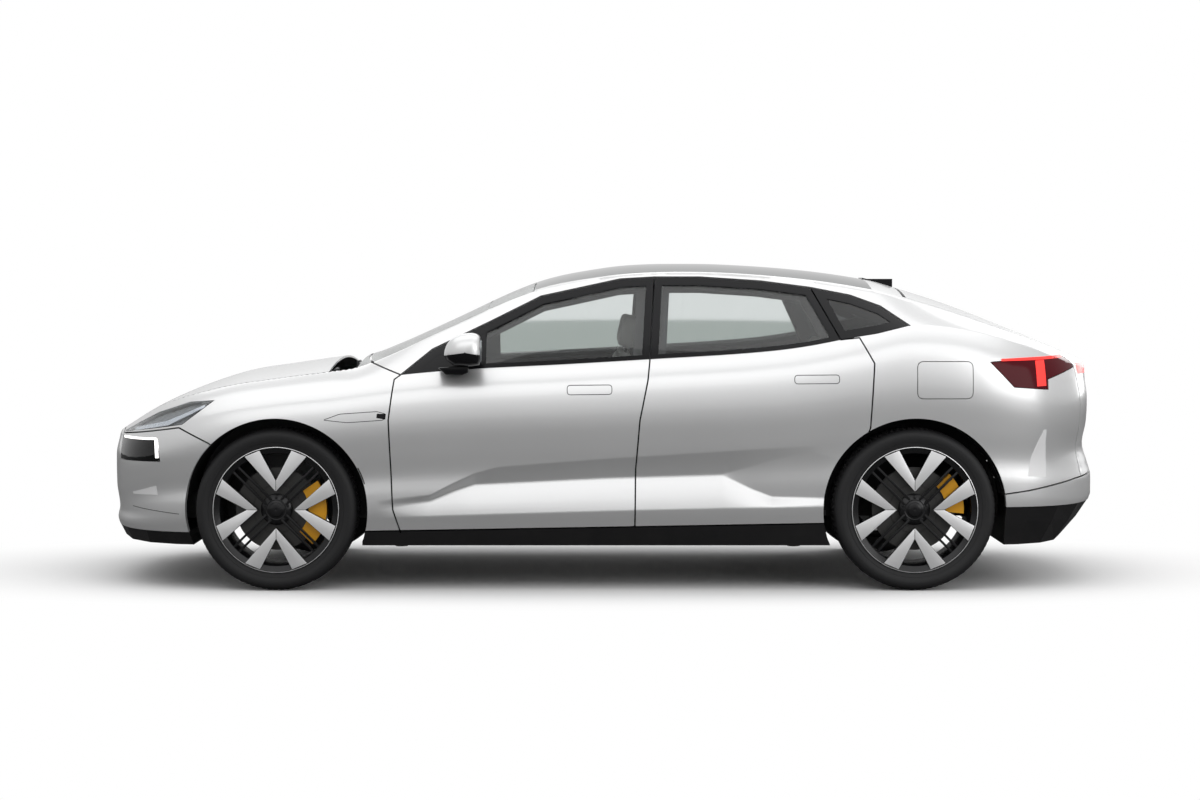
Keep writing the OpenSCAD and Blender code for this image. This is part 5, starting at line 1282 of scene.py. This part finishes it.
# door mirror: domed cap over a dark shell, on its foot; shares of the head's length and height
mirrorShape = {"head": (.184, .155), "reach": .204, "back": .014, "footReach": (.004, .140),
               "cap": [[0, .33], [.02, .5], [.11, .73], [.30, .92], [.57, .995], [.79, .985], [.925, .86],
                       [.99, .6], [1, .33]],
               "shell": [[.97, .17], [.90, .04], [.68, 0], [.24, .03], [.08, .17]],
               "foot": [[-.775, 1.052], [-.632, 1.062], [-.632, 1.030], [-.662, 1.017], [-.738, 1.019]],
               "glass": [[.045, .022], [.045, .122], [.159, .118], [.159, .026]]}


def mirrorPieces(hand):
    m, sign = mirrorShape, -1 if hand == "left" else 1
    lo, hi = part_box("mirror_" + hand)
    far, near = max(abs(lo[1]), abs(hi[1])), min(abs(lo[1]), abs(hi[1]))
    corner = np.array([hi[0] - m["head"][0], hi[2] - m["head"][1]])
    scale = np.array(m["head"])
    t = np.linspace(0, len(m["cap"]) - 1, 33)
    upper = np.stack([railCurve([[i, v[axis]] for i, v in enumerate(m["cap"])])(t) for axis in (0, 1)], -1)
    lower = dense(np.array([m["cap"][-1]] + m["shell"] + [m["cap"][0]]), .09)[1:-1]
    ring = np.vstack([upper, lower]) * scale + corner
    middle = corner + scale * [.55, .42]
    bm = bmesh.new()
    rows, rings = [], 22
    for i in range(rings + 1):
        u = -math.cos(math.pi * i / rings)
        swell = max((1 - abs(u) ** 4) ** .5, .03)
        spot = middle + (ring - middle) * swell
        spot[:, 0] = np.minimum(spot[:, 0], hi[0] - m["back"])
        y = sign * (far - m["reach"] * (1 - u) / 2)
        rows.append([bm.verts.new((x, y, z)) for x, z in spot])
    plane = hi[0] - m["back"]
    for row in joinRows(bm, rows, False):
        for k, face in enumerate(row):
            face.material_index = 0 if k < len(upper) - 1 and face.calc_center_median().x < plane - .001 else 1
    for row in (rows[0], rows[-1]):
        bm.faces.new(row).material_index = 1
    door, tag = "door_front_" + hand, hand.title()
    settle(fromBm("mirrorHead" + tag, bm, ["paint", "gloss"], 40), door, ["mirror_" + hand])
    bm = bmesh.new()
    pushed(bm, m["foot"], *(sign * (near + move) for move in m["footReach"]))
    settle(fromBm("mirrorFoot" + tag, bm, ["gloss"], 40, .006), door)
    bm = bmesh.new()
    rows = [[bm.verts.new((plane + move, sign * (far - y), corner[1] + z)) for y, z in m["glass"]]
            for move in (-.002, .003)]
    for row in rows:
        bm.faces.new(row)
    joinRows(bm, rows, False)
    settle(fromBm("mirrorGlass" + tag, bm, ["lampMetal"], 40, .0015), door)


for hand in both:
    mirrorPieces(hand)
print("mirrors made")

# flush handles and the blade on the front wing, as fine outlines in the skin
handles = {"front": [[-.172, .924], [.037, .926], [.037, .970], [-.172, .968]],
           "rear": [[.891, .975], [1.100, .977], [1.100, 1.017], [.891, 1.015]]}
for end, outline in handles.items():
    for hand, piece in zip(both, ribbon(end + "Handle", outline, .0032, mats["seal"], -.0003, .0015, .016)):
        settle(piece, "door_%s_%s" % (end, hand))
wing = {"outline": [[-1.312, .806], [-1.235, .834], [-1.060, .846], [-1.018, .834], [-1.030, .806],
                    [-1.200, .794]],
        "tip": [[-1.062, .826], [-1.020, .822]]}
for piece in ribbon("wingBlade", wing["outline"], .0030, mats["seal"], -.0003, .0015, .010):
    settle(piece, "car")
for piece in ribbon("wingTip", wing["tip"], [.020, .026], mats["gloss"], -.0006, .003):
    settle(piece, "car")

# blade on the rear bumper, fin and crease on the front one
bladeLines = {"rearBlade": ([[2.078, .757], [2.062, .70], [2.046, .62], [2.040, .535]], [.012, .05, .08, .09],
                            "blade"),
              "bumperFin": ([[-2.245, .447], [-2.112, .468]], [.010, .044], "blade"),
              "bumperCrease": ([[-2.25, .383], [-2.0, .359]], .0026, "seal")}
for name, (line, width, mat) in bladeLines.items():
    for piece in ribbon(name, line, width, mats[mat], -.0008, .003):
        settle(piece, "car")

# felt walls on the inner side of the rear wheels, open for the arms: partly the real liner, partly a dark
# sheet of painted shade reaching down to block the view under the car, where the floor beyond lies in shadow
linerShadeWall = {"r": .430, "ends": (-6.9, 186.9), "low": -.052, "slot": .046, "top": .133, "y": (.689, .693)}
wall = [polar(linerShadeWall["r"], turn) for turn in np.linspace(*linerShadeWall["ends"], 49)]
wall += [(side * linerShadeWall["slot"], linerShadeWall[end])
         for side, end in ((-1, "low"), (-1, "top"), (1, "top"), (1, "low"))]
wall = [(body["rearAxle"] + x, body["hub"] + z) for x, z in wall]
for hand, sign in (("Left", -1), ("Right", 1)):
    bm = bmesh.new()
    pushed(bm, wall, *(sign * y for y in linerShadeWall["y"]))
    settle(fromBm("linerAndShadeWall" + hand, bm, ["felt"], 32), "car")
print("trim made")


# camera at the photograph's angle, plain floor and soft light
view = {"place": (-.0186, -12.970, 1.470), "pitch": 2.725, "lens": 77.0}
camera = bpy.data.objects.new("camera", bpy.data.cameras.new("camera"))
scene.collection.objects.link(camera)
camera.location = view["place"]
camera.rotation_euler = (math.radians(90 - view["pitch"]), 0, 0)
camera.data.lens, camera.data.sensor_width, camera.data.clip_end = view["lens"], 36, 400
scene.camera = camera


# the car's own rays see a floor of painted shade, and rays through the glass see a plane of painted light
studio = {"floorHalf": 82, "floor": .93, "shadeFloorForCar": .165, "glowThroughGlass": (.46, .50, .475, 1),
          "fade": (1.08, 1.75), "oval": (.42, 1, 1), "soft": .67}


def mixShaders(tree, factor, a, b):
    mix = tree.nodes.new("ShaderNodeMixShader")
    for socket, source in zip(mix.inputs, (factor, a, b)):
        tree.links.new(source, socket)
    return mix.outputs[0]


def studioFloor():
    floor = studio["floor"]
    fixed = {"Base Color": (floor, floor, floor, 1), "Roughness": .9, "Specular IOR Level": .1}
    mat, tree = newFinish("paleFloor", (floor,) * 3, fixed)[:2]
    place = tree.nodes.new("ShaderNodeTexCoord").outputs["Object"]
    oval, far = (tree.nodes.new("ShaderNodeVectorMath") for _ in range(2))
    oval.operation, far.operation = "MULTIPLY", "LENGTH"
    oval.inputs[1].default_value = studio["oval"]
    tree.links.new(place, oval.inputs[0])
    tree.links.new(oval.outputs["Vector"], far.inputs[0])
    fade = tree.nodes.new("ShaderNodeMapRange")
    fade.interpolation_type = "SMOOTHSTEP"
    fade.inputs["From Min"].default_value, fade.inputs["From Max"].default_value = studio["fade"]
    tree.links.new(far.outputs["Value"], fade.inputs["Value"])
    white, plane = (tree.nodes.new("ShaderNodeEmission") for _ in range(2))
    # painted light: a glowing grey plane that rays through the glass see in place of the floor
    plane.inputs["Color"].default_value = studio["glowThroughGlass"]
    # painted shade: a darker floor that only rays from the car see, so its lower faces reflect shade
    shadeFloorShader = tree.nodes.new("ShaderNodeBsdfDiffuse")
    shadeFloorShader.inputs["Color"].default_value = (studio["shadeFloorForCar"],) * 3 + (1,)
    path = tree.nodes.new("ShaderNodeLightPath").outputs
    pale = tree.nodes["Principled BSDF"].outputs[0]
    # the car itself sees a floor painted greyer, as painted shade, and through the windows a glowing grey
    # plane up to its far edge, as painted light
    paintedFloorForCar = mixShaders(tree, path["Is Transmission Ray"], shadeFloorShader.outputs[0], plane.outputs[0])
    shown = mixShaders(tree, fade.outputs[0], pale, white.outputs[0])
    tree.links.new(mixShaders(tree, path["Is Camera Ray"], paintedFloorForCar, shown),
                   tree.nodes["Material Output"].inputs["Surface"])
    half = studio["floorHalf"]
    corners = [(-half, -half, 0), (half, -half, 0), (half, half, 0), (-half, half, 0)]
    makeMesh("floor", corners, [(0, 1, 2, 3)], [mat])


def studioWorld():
    world = bpy.data.worlds.new("studio")
    scene.world = world
    world.use_nodes = True
    tree = world.node_tree
    soft, white = tree.nodes["Background"], tree.nodes.new("ShaderNodeBackground")
    for node, strength in ((soft, studio["soft"]), (white, 1.0)):
        node.inputs["Color"].default_value, node.inputs["Strength"].default_value = (1, 1, 1, 1), strength
    path = tree.nodes.new("ShaderNodeLightPath").outputs
    seen = addMath(tree, "MAXIMUM", path["Is Camera Ray"], path["Is Transmission Ray"])
    tree.links.new(mixShaders(tree, seen, soft.outputs[0], white.outputs[0]),
                   tree.nodes["World Output"].inputs["Surface"])


def softLamp(name, place, aim, size, watts):
    data = bpy.data.lights.new(name, "AREA")
    data.shape, data.size, data.size_y, data.energy = "RECTANGLE", size[0], size[1], watts
    lamp = bpy.data.objects.new(name, data)
    lamp.location = place
    lamp.rotation_euler = (Vector(aim) - Vector(place)).to_track_quat("-Z", "Y").to_euler()
    scene.collection.objects.link(lamp)


studioFloor()
studioWorld()
softLamp("overhead", (0, -.6, 5.2), (0, 0, .6), (9, 4.8), 100)
for name, sign in (("sideFill", -1), ("farFill", 1)):
    softLamp(name, (0, sign * 6.5, 5.2), (0, sign * .9, .9), (10, 3.2), 88)
for sign in (-1, 1):
    softLamp("tailFill", (6.0, sign * 6.2, 2.6), (1.7, sign * .9, .8), (4.4, 3.4), 100)
scene.view_settings.view_transform = "Standard"
print("stage set")
